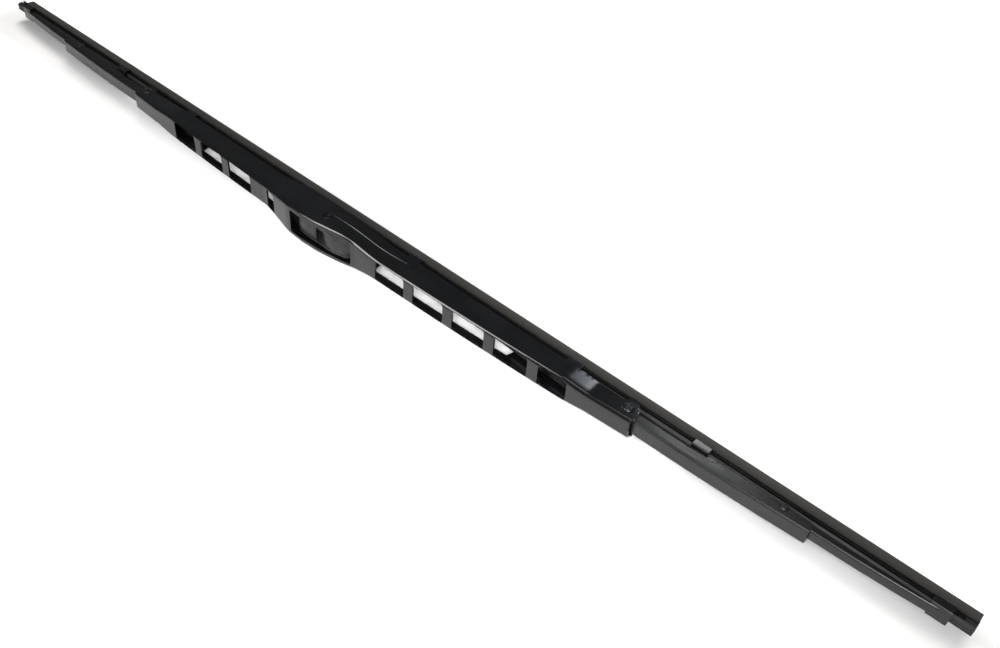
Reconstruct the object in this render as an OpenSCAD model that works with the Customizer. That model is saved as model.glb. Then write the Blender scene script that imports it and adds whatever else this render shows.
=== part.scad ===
// Bracket wiper blade lying on its side: X runs along the blade, Y from the back to the wiping lip, Z up.
// Every height is measured from the wiping edge towards the back of the blade.

/* [Along the blade] */
// Distance of each bridge pivot from the middle of the blade
pivot_x = 149; // [140:0.5:160]
// Distance from a bridge pivot to each of its two yoke rivets
arm_l = 64; // [60:0.5:68]
// How far a lever runs on past its yoke rivets
lever_tail = 11; // [8:0.5:11.5]
// Distance from a yoke rivet to its claw on the pivot's side
claw_near = 35; // [32:0.5:38]
// Distance from an inner yoke's rivet to its claw nearest the middle of the blade
claw_far = 51; // [46:0.5:54]
// Distance from an outer yoke's rivet to its claw nearest the end of the blade
claw_end = 56; // [50:0.5:60]
// Length of a claw along the blade
claw_l = 7; // [5:0.5:8]
// How far the rubber strip runs on past the last claws
overhang = 11; // [8:0.5:16]
// How far the bridge runs on past its pivots
bridge_tail = 5; // [4.5:0.25:7]

/* [Heights] */
// Height of the rubber strip from the wiping edge to its crown
rubber_h = 9.1; // [8.8:0.05:9.6]
// Rise from a yoke's back to a lever's back
lever_rise = 3.7; // [3.4:0.1:4.2]
// Rise from a lever's back to the middle of the bridge's back
bridge_rise = 6.7; // [6.2:0.1:7.6]
// Rise of the centre hump over the bridge's back
hump_rise = 3.4; // [2.8:0.1:4]
// Radius of the arc that the bridge's back follows
bridge_arc_r = 2500; // [2400:10:3000]

/* [Sheet metal] */
// Sheet thickness of the bridge
bridge_t = 0.9; // [0.7:0.05:1.1]
// Sheet thickness of a lever
lever_t = 0.8; // [0.6:0.05:0.9]
// Sheet thickness of a yoke
yoke_t = 0.7; // [0.6:0.05:0.8]
// Outer width of a yoke
yoke_w = 4.8; // [4.6:0.05:5.2]
// Outer width of the bridge along its windows
bridge_w = 11.8; // [11.2:0.1:13]
// Outer width of the bridge over the hump, which is the side the blade rests on
hump_w = 17; // [15.5:0.1:20]
// Depth of the shallow flange that the far wall has beside the windows
flange_d = 4.3; // [3:0.1:5]

/* [Windows in the bridge's back] */
// Length of one window
window_l = 16.6; // [13:0.1:18]
// Spacing of the windows
window_pitch = 21.7; // [20.5:0.1:22.5]
// Number of full windows on the right of the hump
windows_right = 4; // [2:1:4]
// Number of windows on the left of the hump
windows_left = 3; // [2:1:3]
// Length of the short window next to the right pivot
short_window_l = 13.4; // [8:0.2:14]
// Length of the small window left of the hump
small_window_l = 5.8; // [4.2:0.2:6.2]

/* [Arm fastening] */
// Place of the arm pin along the blade
pin_x = -8; // [-12:0.5:-4]
// Radius of the arm pin
pin_r = 2; // [1.8:0.1:2.3]
// Depth of the arm pin below the top of the hump
pin_depth = 7.6; // [7.4:0.1:8.2]
// Length of the slot that takes the arm's hook
slot_l = 35.5; // [34:0.5:37]
// Width of the slot that takes the arm's hook
slot_w = 11.8; // [11:0.1:12.4]
// Outer radius of the barrel that the arm's hook closes round
barrel_r = 3.1; // [2.9:0.1:3.3]
// Room left round the barrel for the hook
hook_room = 2.6; // [2.2:0.1:2.8]
// Gap between the adapter's two pads, where the hook comes in
hook_gap = 5.6; // [5:0.1:6.2]
// Thickness of the adapter's cheek plates
plate_t = 1; // [0.8:0.1:1.4]

/* [Rails] */
// Thickness of a rail
rail_t = 0.8; // [0.6:0.05:0.9]
// Width of a rail
rail_w = 1.9; // [1.7:0.05:2.1]
// How far the rubber strip runs on past each end of the rails
rail_short = 4; // [2:0.5:8]

/* [Fits] */
// Radial clearance of a turning fit
run_gap = 0.05; // [0.03:0.01:0.08]
// Side clearance beside a bush flange
side_gap = 0.1; // [0.06:0.02:0.16]
// Thickness of a bush flange
flange_t = 0.3; // [0.2:0.02:0.4]
// Clearance of the claws round the rubber strip and its rails
claw_gap = 0.12; // [0.08:0.02:0.16]
// Clearance of a rail in its groove
rail_gap = 0.03; // [0.02:0.01:0.05]
// Side clearance of the adapter in the hump's slot
adapter_gap = 1.2; // [0.8:0.05:1.6]
// Side clearance between the adapter's bosses and the hump's cheeks
boss_gap = 0.3; // [0.15:0.05:0.5]

/* [Hidden] */
eps = 0.01;
fn_round = 48;

// Rivets and bushes
pivot_r = 1.5;
pivot_bush_r = pivot_r + 0.4;
pivot_ear_r = 2.9;
pivot_head_r = 2.3;
pivot_head_t = 0.9;
yoke_pin_r = 0.85;
yoke_bush_r = yoke_pin_r + 0.25;
yoke_ear_r = 1.9;
yoke_lug_r = yoke_bush_r + 0.55;
yoke_flange_r = yoke_bush_r + 0.4;
yoke_head_r = 1.7;
yoke_head_t = 0.7;

// The stack of heights, from the rubber strip up to the top of the hump
lug_drop = 0.1;
yoke_low_h = rubber_h + 0.5;
yoke_rivet_h = rubber_h + 0.95 + yoke_pin_r;
yoke_h = yoke_rivet_h + yoke_pin_r + 0.05 + yoke_t;
lever_h = yoke_h + lever_rise;
pivot_h = lever_h - pivot_ear_r - 0.1;
lever_high_h = yoke_low_h + 2.5;
lever_low_h = yoke_low_h + 0.7;
bridge_edge_h = yoke_low_h + 1.3;
bridge_mid_h = lever_h + bridge_rise;
total_h = bridge_mid_h + hump_rise;
pin_h = total_h - pin_depth;

// The stack of widths, from a yoke out to the bridge's ends
lever_w = yoke_w + 2 * (lever_t + flange_t + side_gap);
bridge_end_w = lever_w + 2 * (bridge_t + flange_t + side_gap);
mid_z = hump_w / 2;
lip_y = total_h / 2;

// Lengths that follow from the pivots
bridge_end_x = pivot_x + bridge_tail;
yoke_inner_x = pivot_x - arm_l;
yoke_outer_x = pivot_x + arm_l;
blade_l = 2 * (yoke_outer_x + claw_end + overhang);
rail_l = blade_l - 2 * rail_short;
lever_reach = arm_l + lever_tail;

// Hump, measured from the arm pin: its feet and shoulders, and where its cheeks swell and narrow
hump_foot_left = pin_x - 39;
hump_foot_right = pin_x + 19;
hump_shoulder_left = pin_x - 20;
hump_shoulder_right = pin_x - 1;
shoulder_drop = 0.4;
swell_left = [pin_x - 36, pin_x - 17];
swell_right = [pin_x + 13, pin_x + 30];
slot_x = pin_x - slot_l / 2 + 0.25;

// Windows, and the stretches beside them where the far wall is shallow
window_w = bridge_w - 2 * bridge_t - 0.2;
window_right_x = swell_right[1] + 3;
window_left_x = pin_x - 49.6;
small_window_x = swell_left[0] - 1;
shallow_right = [window_right_x - 7, window_right_x + windows_right * window_pitch - 16.8];
shallow_left = [window_left_x - (windows_left - 1) * window_pitch - 2.2, small_window_x + small_window_l - 0.5];
narrow_to_x = pivot_x - 16;
narrow_from_x = narrow_to_x - 22;

// Cross-section of the rubber strip, from its crown down to the wiping edge
crown_w = 3;
bead_w = 4.2;
web_w = 1.8;
neck_w = 1;
shoulder_w = 4.6;
lip_root_w = 1.1;
lip_edge_w = 0.7;
rail_top_h = rubber_h - 1.3;
rail_low_h = rail_top_h - rail_t;
neck_top_h = rail_low_h - 0.6;
shoulder_top_h = neck_top_h - 0.7;
shoulder_low_h = shoulder_top_h - 0.6;
lip_tip_h = shoulder_low_h - 1.3;

// Claws, which follow the rubber strip and its rails
rail_out_z = web_w / 2 + rail_gap + rail_w;
claw_in_z = rail_out_z + claw_gap;
claw_top_h = rubber_h + claw_gap;
hook_top_h = rail_low_h - claw_gap;
hook_low_h = neck_top_h - 0.25;
hook_in_z = bead_w / 2 + claw_gap;

// Adapter
adapter_w = slot_w - 2 * adapter_gap;
boss_w = hump_w - 2 * (bridge_t + boss_gap);
adapter_top_h = total_h - 2.2;
adapter_low_h = pin_h - pin_r - 0.8;
adapter_x = [slot_x + 1.6, slot_x + slot_l - 1.6];
pad_depth = 3.4;

// Heights of the three sorts of back, over the distance along them
lever_peak_d = 8;
lever_outer_arc_r = 1100;
lever_inner_arc_r = 1600;
yoke_drop = 2.7;
yoke_arc_r = (claw_end + claw_l / 2) ^ 2 / (2 * yoke_drop);
function arc_drop(d, r) = d * d / (2 * r);
function bridge_back_h(x) = bridge_mid_h - arc_drop(x, bridge_arc_r);
function lever_back_h(d) =
    lever_h - arc_drop(d - lever_peak_d, d > lever_peak_d ? lever_outer_arc_r : lever_inner_arc_r);
function yoke_back_h(d) = yoke_h - arc_drop(d, yoke_arc_r);

// Evenly spaced places from one end to the other
function steps(from, to, n) = [for (i = [0:n]) from + (to - from) * i / n];

// Stands a side view, drawn as [along, height], up as a plate of the given width about the middle plane
module side_plate(width) {
    translate([0, lip_y, mid_z - width / 2])
        linear_extrude(width)
            mirror([0, 1])
                children();
}

// Carries a plan view, drawn as [along, across], through all heights down to from_h
module plan_column(from_h = 0) {
    translate([0, lip_y - from_h, mid_z])
        rotate([90, 0, 0])
            linear_extrude(total_h + 1 - from_h)
                children();
}

// Runs a cross-section, drawn as [across, height], along the blade
module lengthwise(from_x, length) {
    translate([from_x, lip_y, mid_z])
        rotate([90, 0, 90])
            linear_extrude(length)
                rotate(90)
                    children();
}

// A round bar across the blade, at a place along it and a height, from one level to another
module cross_bar(x, h, r, from_z, to_z) {
    translate([x, lip_y - h, mid_z + from_z])
        cylinder(h = to_z - from_z, r = r, $fn = fn_round);
}

// Mirrors its children about the blade's middle plane, or leaves them
module flipped(flip) {
    translate([0, 0, flip ? 2 * mid_z : 0])
        mirror([0, 0, flip ? 1 : 0])
            children();
}

// The line of the bridge's back, lowered by the given amount, out to the given end
function bridge_back(lower, end_x) = concat(
    [for (x = steps(-end_x, hump_foot_left, 12)) [x, bridge_back_h(x) - lower]],
    [[hump_shoulder_left, total_h - shoulder_drop - lower],
     [(hump_shoulder_left + hump_shoulder_right) / 2, total_h - lower],
     [hump_shoulder_right, total_h - shoulder_drop - lower]],
    [for (x = steps(hump_foot_right, end_x, 16)) [x, bridge_back_h(x) - lower]]
);

// Side view of the bridge, with slanted ends
module bridge_side() {
    corner_h = bridge_back_h(bridge_end_x) - 2.5;
    foot_x = pivot_x - pivot_ear_r - 2;
    polygon(concat(
        [[-foot_x, bridge_edge_h], [-bridge_end_x, corner_h]],
        bridge_back(0, bridge_end_x - 0.8),
        [[bridge_end_x, corner_h], [foot_x, bridge_edge_h]]
    ));
}

// Plan view of the bridge, narrower on each side by the given amount
module bridge_plan(inside) {
    half_end = bridge_end_w / 2 - inside;
    half_mid = bridge_w / 2 - inside;
    half_hump = hump_w / 2 - inside;
    far_x = bridge_end_x + 1;
    edge = [
        [-far_x, half_end], [-narrow_to_x, half_end], [-narrow_from_x, half_mid],
        [swell_left[0], half_mid], [swell_left[1], half_hump],
        [swell_right[0], half_hump], [swell_right[1], half_mid],
        [narrow_from_x, half_mid], [narrow_to_x, half_end], [far_x, half_end]
    ];
    polygon(concat(edge, [for (i = [len(edge) - 1:-1:0]) [edge[i][0], -edge[i][1]]]));
}

// The windows and the hook's slot in the bridge's back, as plan rectangles
module window_plan() {
    for (i = [0:windows_right])
        translate([window_right_x + i * window_pitch, -window_w / 2])
            square([i < windows_right ? window_l : short_window_l, window_w]);
    for (i = [0:windows_left - 1])
        translate([window_left_x - i * window_pitch - window_l, -window_w / 2])
            square([window_l, window_w]);
    translate([small_window_x, -window_w / 2]) square([small_window_l, window_w]);
    translate([slot_x, -slot_w / 2]) square([slot_l, slot_w]);
}

// What is cut from the far wall over one stretch, to leave only its flange
module far_wall_cut(span) {
    outline = concat(
        [[span[0], 0]],
        [for (x = steps(span[0], span[1], 8)) [x, bridge_back_h(x) - flange_d]],
        [[span[1], 0]]
    );
    translate([0, lip_y, mid_z - hump_w / 2 - 1])
        linear_extrude(hump_w / 2 + 1 - window_w / 2)
            mirror([0, 1])
                polygon(outline);
}

module bridge() {
    color("#17181a")
        difference() {
            union() {
                intersection() {
                    side_plate(hump_w + 1) bridge_side();
                    plan_column() bridge_plan(0);
                }
                for (side = [-1, 1])
                    cross_bar(side * pivot_x, pivot_h, bridge_tail - 0.6, -bridge_end_w / 2, bridge_end_w / 2);
            }
            intersection() {
                side_plate(hump_w + 1)
                    polygon(concat(
                        [[-bridge_end_x - 1, 0]],
                        bridge_back(bridge_t, bridge_end_x + 1),
                        [[bridge_end_x + 1, 0]]
                    ));
                plan_column() bridge_plan(bridge_t);
            }
            plan_column(lever_h) window_plan();
            far_wall_cut(shallow_right);
            far_wall_cut(shallow_left);
            for (side = [-1, 1])
                cross_bar(side * pivot_x, pivot_h, pivot_r, -hump_w, hump_w);
            cross_bar(pin_x, pin_h, pin_r, -hump_w, hump_w);
        }
}

// Side view of a lever about its pivot: its walls are shallow over the pivot-side claws
module lever_side() {
    high_to = arm_l - claw_near + claw_l / 2 + 2;
    low_from = high_to + 3;
    polygon(concat(
        [[-lever_reach + 1.2, lever_low_h], [-lever_reach, lever_low_h + 1.2]],
        [for (d = steps(-lever_reach, lever_reach, 24)) [d, lever_back_h(d)]],
        [[lever_reach, lever_low_h + 1.2], [lever_reach - 1.2, lever_low_h],
         [low_from, lever_low_h], [high_to, lever_high_h],
         [-high_to, lever_high_h], [-low_from, lever_low_h]]
    ));
}

// One lever: side is 1 on the right and -1 on the left
module secondary(side) {
    color("#1a1b1d")
        translate([side * pivot_x, 0, 0])
            mirror([side < 0 ? 1 : 0, 0, 0])
                difference() {
                    union() {
                        side_plate(lever_w) lever_side();
                        cross_bar(0, pivot_h, pivot_ear_r, -lever_w / 2, lever_w / 2);
                        for (d = [-arm_l, arm_l])
                            cross_bar(d, yoke_rivet_h, yoke_ear_r, -lever_w / 2, lever_w / 2);
                    }
                    side_plate(lever_w - 2 * lever_t)
                        polygon(concat(
                            [[-lever_reach - 1, 0]],
                            [for (d = steps(-lever_reach - 1, lever_reach + 1, 24)) [d, lever_back_h(d) - lever_t]],
                            [[lever_reach + 1, 0]]
                        ));
                    cross_bar(0, pivot_h, pivot_bush_r + run_gap, -lever_w, lever_w);
                    for (d = [-arm_l, arm_l])
                        cross_bar(d, yoke_rivet_h, yoke_pin_r, -lever_w, lever_w);
                }
}

// Cross-section of a claw, open towards the lip, with a hook under each rail
module claw_section() {
    difference() {
        translate([-claw_in_z - yoke_t, hook_low_h])
            square([2 * (claw_in_z + yoke_t), claw_top_h + yoke_t - hook_low_h]);
        translate([-claw_in_z, hook_top_h])
            square([2 * claw_in_z, claw_top_h - hook_top_h]);
        translate([-hook_in_z, hook_low_h - 1])
            square([2 * hook_in_z, hook_top_h - hook_low_h + 1 + eps]);
    }
}

// One yoke: x is the place of its rivet, and its long end, far_d long, points away from the bridge pivot
module yoke(x, far_d) {
    from_d = -claw_near - claw_l / 2;
    to_d = far_d + claw_l / 2;
    points_left = abs(x) > pivot_x ? x < 0 : x > 0;
    color("#1c1d1f")
        translate([x, 0, 0])
            mirror([points_left ? 1 : 0, 0, 0]) {
                difference() {
                    union() {
                        side_plate(yoke_w)
                            polygon(concat(
                                [[from_d, yoke_low_h]],
                                [for (d = steps(from_d, to_d, 20)) [d, yoke_back_h(d)]],
                                [[to_d, yoke_low_h]]
                            ));
                        cross_bar(0, yoke_rivet_h - lug_drop, yoke_lug_r, -yoke_w / 2, yoke_w / 2);
                    }
                    side_plate(yoke_w - 2 * yoke_t)
                        polygon(concat(
                            [[from_d - 1, 0]],
                            [for (d = steps(from_d - 1, to_d + 1, 20)) [d, yoke_back_h(d) - yoke_t]],
                            [[to_d + 1, 0]]
                        ));
                    for (z = [-yoke_w / 2 - 1, yoke_w / 2 - yoke_t])
                        cross_bar(0, yoke_rivet_h, yoke_bush_r + run_gap, z, z + yoke_t + 1);
                }
                for (d = [-claw_near, far_d])
                    lengthwise(d - claw_l / 2, claw_l) claw_section();
            }
}

// A rivet across the blade, with a domed head outside each of two walls that end at half_w
module rivet(x, h, r, head_r, head_t, half_w) {
    color("#2b2c2e") {
        cross_bar(x, h, r, -half_w - head_t / 2, half_w + head_t / 2);
        for (flip = [false, true])
            flipped(flip)
                translate([x, lip_y - h, mid_z + half_w]) {
                    cylinder(h = head_t / 2, r = head_r, $fn = fn_round);
                    translate([0, 0, head_t / 2])
                        cylinder(h = head_t / 2, r1 = head_r, r2 = head_r * 0.62, $fn = fn_round);
                }
    }
}

module pivot_rivet(side) {
    rivet(side * pivot_x, pivot_h, pivot_r, pivot_head_r, pivot_head_t, bridge_end_w / 2);
}

module yoke_rivet(x) {
    rivet(x, yoke_rivet_h, yoke_pin_r, yoke_head_r, yoke_head_t, lever_w / 2);
}

// A flanged bush on a rivet: its sleeve lies in the turning wall, its flange between the two walls
module bush(x, h, bore_r, sleeve_r, flange_r, wall_z, wall_t) {
    color("#3a3b3c")
        difference() {
            union() {
                cross_bar(x, h, sleeve_r, wall_z - wall_t, wall_z + side_gap + eps);
                cross_bar(x, h, flange_r, wall_z + side_gap, wall_z + side_gap + flange_t);
            }
            cross_bar(x, h, bore_r, 0, wall_z + 2);
        }
}

module pivot_bush(side, flip) {
    flipped(flip)
        bush(side * pivot_x, pivot_h, pivot_r, pivot_bush_r, pivot_ear_r, lever_w / 2, lever_t);
}

module yoke_bush(x, flip) {
    flipped(flip)
        bush(x, yoke_rivet_h, yoke_pin_r, yoke_bush_r, yoke_flange_r, yoke_w / 2, yoke_t);
}

// The pin that carries the wiper arm's adapter, flush with the hump's cheeks
module arm_pin() {
    color("#8c8e90")
        cross_bar(pin_x, pin_h, pin_r, -hump_w / 2 + 0.1, hump_w / 2 - 0.1);
}

// Side view of the adapter's two cheek plates
module adapter_plate_side() {
    polygon([
        [adapter_x[0], adapter_low_h + 2], [adapter_x[0], adapter_top_h - 2.6],
        [adapter_x[0] + 1.8, adapter_top_h - 0.5], [adapter_x[0] + 6.5, adapter_top_h],
        [adapter_x[1] - 9, adapter_top_h], [adapter_x[1] - 2.4, adapter_top_h - 1.6],
        [adapter_x[1], adapter_top_h - 4.2], [adapter_x[1] - 1.8, adapter_low_h + 1],
        [adapter_x[1] - 5, adapter_low_h], [adapter_x[0] + 3, adapter_low_h]
    ]);
}

// Side view of the two pads between the cheek plates, on either side of the gap over the barrel
module adapter_pad_side() {
    gap_x = [pin_x - hook_gap / 2, pin_x + hook_gap / 2];
    polygon([
        [adapter_x[0], adapter_top_h - 2.6], [adapter_x[0] + 1.8, adapter_top_h - 0.2],
        [adapter_x[0] + 6.5, adapter_top_h + 0.4], [gap_x[0] - 0.8, adapter_top_h + 0.2],
        [gap_x[0], adapter_top_h - 0.4], [gap_x[0], adapter_top_h - pad_depth],
        [adapter_x[0] + 4.5, adapter_top_h - pad_depth]
    ]);
    polygon([
        [adapter_x[1], adapter_top_h - 4.2], [adapter_x[1] - 2.4, adapter_top_h - 1.3],
        [adapter_x[1] - 8, adapter_top_h + 0.4], [gap_x[1] + 0.8, adapter_top_h + 0.2],
        [gap_x[1], adapter_top_h - 0.4], [gap_x[1], adapter_top_h - pad_depth],
        [adapter_x[1] - 6, adapter_top_h - pad_depth], [adapter_x[1] - 3, adapter_top_h - 4.6]
    ]);
}

module arm_adapter() {
    color("#2e3032")
        difference() {
            union() {
                for (flip = [false, true])
                    flipped(flip)
                        translate([0, 0, adapter_w / 2 - plate_t / 2])
                            side_plate(plate_t) adapter_plate_side();
                difference() {
                    side_plate(adapter_w - plate_t) adapter_pad_side();
                    cross_bar(pin_x, pin_h, barrel_r + hook_room, -adapter_w, adapter_w);
                }
                cross_bar(pin_x, pin_h, barrel_r, -boss_w / 2, boss_w / 2);
            }
            cross_bar(pin_x, pin_h, pin_r + run_gap, -hump_w, hump_w);
        }
}

// Half of the rubber strip's cross-section, as [across, height] from the wiping edge to the crown
rubber_half = [
    [lip_edge_w / 2, 0], [lip_root_w / 2, lip_tip_h],
    [shoulder_w / 2, shoulder_low_h], [shoulder_w / 2, shoulder_top_h],
    [neck_w / 2, shoulder_top_h], [neck_w / 2, neck_top_h],
    [bead_w / 2, neck_top_h], [bead_w / 2, rail_low_h - rail_gap],
    [web_w / 2, rail_low_h - rail_gap], [web_w / 2, rail_top_h + rail_gap],
    [bead_w / 2, rail_top_h + rail_gap], [bead_w / 2, rail_top_h + 0.35],
    [crown_w / 2, rubber_h]
];

module squeegee() {
    last = len(rubber_half) - 1;
    color("#4b4742")
        lengthwise(-blade_l / 2, blade_l)
            polygon(concat(
                rubber_half,
                [for (i = [last:-1:0]) [-rubber_half[i][0], rubber_half[i][1]]]
            ));
}

// One spring-steel rail in a groove of the rubber strip
module rail(flip) {
    color("#9a9c9e")
        flipped(flip)
            translate([-rail_l / 2, lip_y - rail_top_h, mid_z + web_w / 2 + rail_gap])
                cube([rail_l, rail_t, rail_w]);
}

bridge();
secondary(-1);  // secondary_left
secondary(1);  // secondary_right
yoke(-yoke_outer_x, claw_end);  // yoke_left_outer
yoke(-yoke_inner_x, claw_far);  // yoke_left_inner
yoke(yoke_inner_x, claw_far);  // yoke_right_inner
yoke(yoke_outer_x, claw_end);  // yoke_right_outer
pivot_rivet(-1);  // pivot_rivet_left
pivot_rivet(1);  // pivot_rivet_right
yoke_rivet(-yoke_outer_x);  // yoke_rivet_left_outer
yoke_rivet(-yoke_inner_x);  // yoke_rivet_left_inner
yoke_rivet(yoke_inner_x);  // yoke_rivet_right_inner
yoke_rivet(yoke_outer_x);  // yoke_rivet_right_outer
pivot_bush(-1, false);  // pivot_bush_left_upper
pivot_bush(-1, true);  // pivot_bush_left_lower
pivot_bush(1, false);  // pivot_bush_right_upper
pivot_bush(1, true);  // pivot_bush_right_lower
yoke_bush(-yoke_outer_x, false);  // yoke_bush_left_outer_upper
yoke_bush(-yoke_outer_x, true);  // yoke_bush_left_outer_lower
yoke_bush(-yoke_inner_x, false);  // yoke_bush_left_inner_upper
yoke_bush(-yoke_inner_x, true);  // yoke_bush_left_inner_lower
yoke_bush(yoke_inner_x, false);  // yoke_bush_right_inner_upper
yoke_bush(yoke_inner_x, true);  // yoke_bush_right_inner_lower
yoke_bush(yoke_outer_x, false);  // yoke_bush_right_outer_upper
yoke_bush(yoke_outer_x, true);  // yoke_bush_right_outer_lower
arm_pin();
arm_adapter();
squeegee();
rail(false);  // rail_upper
rail(true);  // rail_lower
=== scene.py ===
"""Looks of a bracket wiper blade that lies on its side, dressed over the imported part.

Sizes are in millimetres. A height is measured from the wiping edge towards the back of the blade, and a
level from the blade's middle plane, up where it lies on its side.
"""

import logging
import math
from collections.abc import Callable, Sequence
from dataclasses import dataclass
from enum import Enum

import bmesh
import bpy
import numpy as np
from mathutils import Matrix, Vector
from mathutils.geometry import delaunay_2d_cdt


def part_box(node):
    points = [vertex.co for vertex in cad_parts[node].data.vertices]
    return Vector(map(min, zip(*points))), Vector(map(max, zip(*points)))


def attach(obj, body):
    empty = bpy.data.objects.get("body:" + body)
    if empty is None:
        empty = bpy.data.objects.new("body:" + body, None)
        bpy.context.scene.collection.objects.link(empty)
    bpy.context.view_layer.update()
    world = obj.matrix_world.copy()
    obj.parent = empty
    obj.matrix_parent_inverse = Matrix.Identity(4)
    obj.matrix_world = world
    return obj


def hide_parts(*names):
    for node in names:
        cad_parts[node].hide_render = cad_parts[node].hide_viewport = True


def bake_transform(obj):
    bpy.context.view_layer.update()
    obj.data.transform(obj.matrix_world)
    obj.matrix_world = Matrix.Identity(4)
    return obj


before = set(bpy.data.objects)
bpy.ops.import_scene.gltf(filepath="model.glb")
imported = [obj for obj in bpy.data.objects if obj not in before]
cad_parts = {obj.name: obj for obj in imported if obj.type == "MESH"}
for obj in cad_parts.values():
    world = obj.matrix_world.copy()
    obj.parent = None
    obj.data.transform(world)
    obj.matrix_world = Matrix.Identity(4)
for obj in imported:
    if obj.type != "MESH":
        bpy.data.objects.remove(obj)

MM = 0.001
TINY = 1e-12
# A corner whose half angle is wider than this counts as straight and isn't rounded.
STRAIGHT_HALF_ANGLE = math.radians(86)
# The most that a rounding takes of the edge on either side of it.
CORNER_SHARE = 0.48
# Folds sharper than this are shaded as edges.
SHARP_ANGLE = math.radians(42)
LOG = logging.getLogger("wiper_blade")

Point = tuple[float, float]
Triple = tuple[float, float, float]
Loop = list[Point]


class Body(Enum):
    """The bodies that pieces ride on."""

    BRIDGE = "bridge_frame"
    ADAPTER = "adapter"
    LEFT_LEVER = "left_lever"
    RIGHT_LEVER = "right_lever"
    LEFT_OUTER_YOKE = "left_outer_yoke"
    LEFT_INNER_YOKE = "left_inner_yoke"
    RIGHT_INNER_YOKE = "right_inner_yoke"
    RIGHT_OUTER_YOKE = "right_outer_yoke"


class Side(Enum):
    """The two ends of the blade, each with its sign along X."""

    LEFT = -1
    RIGHT = 1


def arc(centre: Point, radius: float, start: float, end: float, count: int = 12) -> Loop:
    """Points along a circular arc.

    Args:
        centre: The arc's centre.
        radius: Its radius.
        start: The first angle, in degrees.
        end: The last angle, in degrees.
        count: The number of steps.

    Returns:
        The points, both ends included.
    """
    angles = [math.radians(start + (end - start) * i / count) for i in range(count + 1)]
    return [(centre[0] + radius * math.cos(a), centre[1] + radius * math.sin(a)) for a in angles]


def ring(centre: Point, radius: float, count: int) -> Loop:
    """Points round a full circle, none of them twice."""
    return arc(centre, radius, 0, 360, count)[:-1]


def lug(centre: Point, radius: float, level: float, count: int) -> Loop:
    """The round lower edge of an ear that stands out of a straight edge.

    Args:
        centre: The ear's centre.
        radius: Its radius.
        level: The height of the straight edge.
        count: The number of steps.

    Returns:
        The points from where the ear leaves the straight edge to where it meets it again.
    """
    lean = math.degrees(math.asin((centre[1] - level) / radius))
    return arc(centre, radius, 180 + lean, 360 - lean, count)


def rounded(corners: Sequence[Point], radius: float, count: int = 4) -> Loop:
    """Rounds every corner of a closed outline.

    Args:
        corners: The outline's corners.
        radius: The radius, which short edges make smaller.
        count: The number of steps in a corner.

    Returns:
        The outline with its corners rounded.
    """
    loop: Loop = []
    for i, corner in enumerate(corners):
        here = Vector(corner)
        back = Vector(corners[i - 1]) - here
        ahead = Vector(corners[(i + 1) % len(corners)]) - here
        half = back.angle(ahead, math.pi) / 2
        if half > STRAIGHT_HALF_ANGLE:
            loop.append(corner)
            continue
        cut = min(radius / math.tan(half), back.length * CORNER_SHARE, ahead.length * CORNER_SHARE)
        first, last = here + back.normalized() * cut, here + ahead.normalized() * cut
        for k in range(count + 1):
            t = k / count
            bent = first * (1 - t) ** 2 + here * 2 * t * (1 - t) + last * t**2
            loop.append((bent.x, bent.y))
    return loop


def dense(loop: Sequence[Point], step: float) -> Loop:
    """Adds points to a closed outline.

    Args:
        loop: The outline's points.
        step: The length that no edge may pass.

    Returns:
        The outline with its long edges divided.
    """
    points: Loop = []
    for i, (ax, ay) in enumerate(loop):
        bx, by = loop[(i + 1) % len(loop)]
        count = max(1, math.ceil(math.hypot(bx - ax, by - ay) / step))
        points += [(ax + (bx - ax) * k / count, ay + (by - ay) * k / count) for k in range(count)]
    return points


def dense_line(line: Sequence[Point], step: float) -> Loop:
    """Adds points to an open line, so that no edge is longer than the step."""
    closing = max(1, math.ceil(math.dist(line[-1], line[0]) / step))
    return dense(line, step)[:-closing] + [line[-1]]


def inside(points: np.ndarray, loop: np.ndarray) -> np.ndarray:
    """Which points lie inside a closed outline.

    Args:
        points: The points, one a row.
        loop: The outline's points, one a row.

    Returns:
        One truth value a point.
    """
    x, y = points[:, 0:1], points[:, 1:2]
    ax, ay = loop[:, 0], loop[:, 1]
    bx, by = np.roll(ax, -1), np.roll(ay, -1)
    crosses = (ay > y) != (by > y)
    rise = np.where(by == ay, TINY, by - ay)
    return (crosses & (x < (bx - ax) * (y - ay) / rise + ax)).sum(axis=1) % 2 == 1


def clearance(points: np.ndarray, loop: np.ndarray) -> np.ndarray:
    """How far each point lies from a closed outline.

    Args:
        points: The points, one a row.
        loop: The outline's points, one a row.

    Returns:
        One distance a point.
    """
    start = loop
    run = np.roll(loop, -1, axis=0) - start
    length = np.maximum((run**2).sum(axis=1), TINY)
    offset = points[:, None, :] - start[None]
    share = np.clip((offset * run).sum(axis=2) / length, 0, 1)
    return np.sqrt(((offset - share[:, :, None] * run) ** 2).sum(axis=2)).min(axis=1)


@dataclass(frozen=True)
class Place:
    """Where the blade lies in the frame: its wiping edge and its middle plane, read from the rubber strip."""

    lip_y: float
    middle_z: float

    @classmethod
    def from_frame(cls) -> "Place":
        """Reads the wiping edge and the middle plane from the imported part."""
        low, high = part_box("squeegee")
        return cls(lip_y=high.y / MM, middle_z=(low.z + high.z) / 2 / MM)

    def at(self, x: float, height: float, level: float) -> Vector:
        """A place on the blade as a point in space, in millimetres."""
        return Vector((x, self.lip_y - height, self.middle_z + level))


PLACE = Place.from_frame()


def section_point(level: float, height: float, x: float) -> Vector:
    """A point of a cross-section, set at a place along the blade."""
    return PLACE.at(x, height, level)


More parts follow.
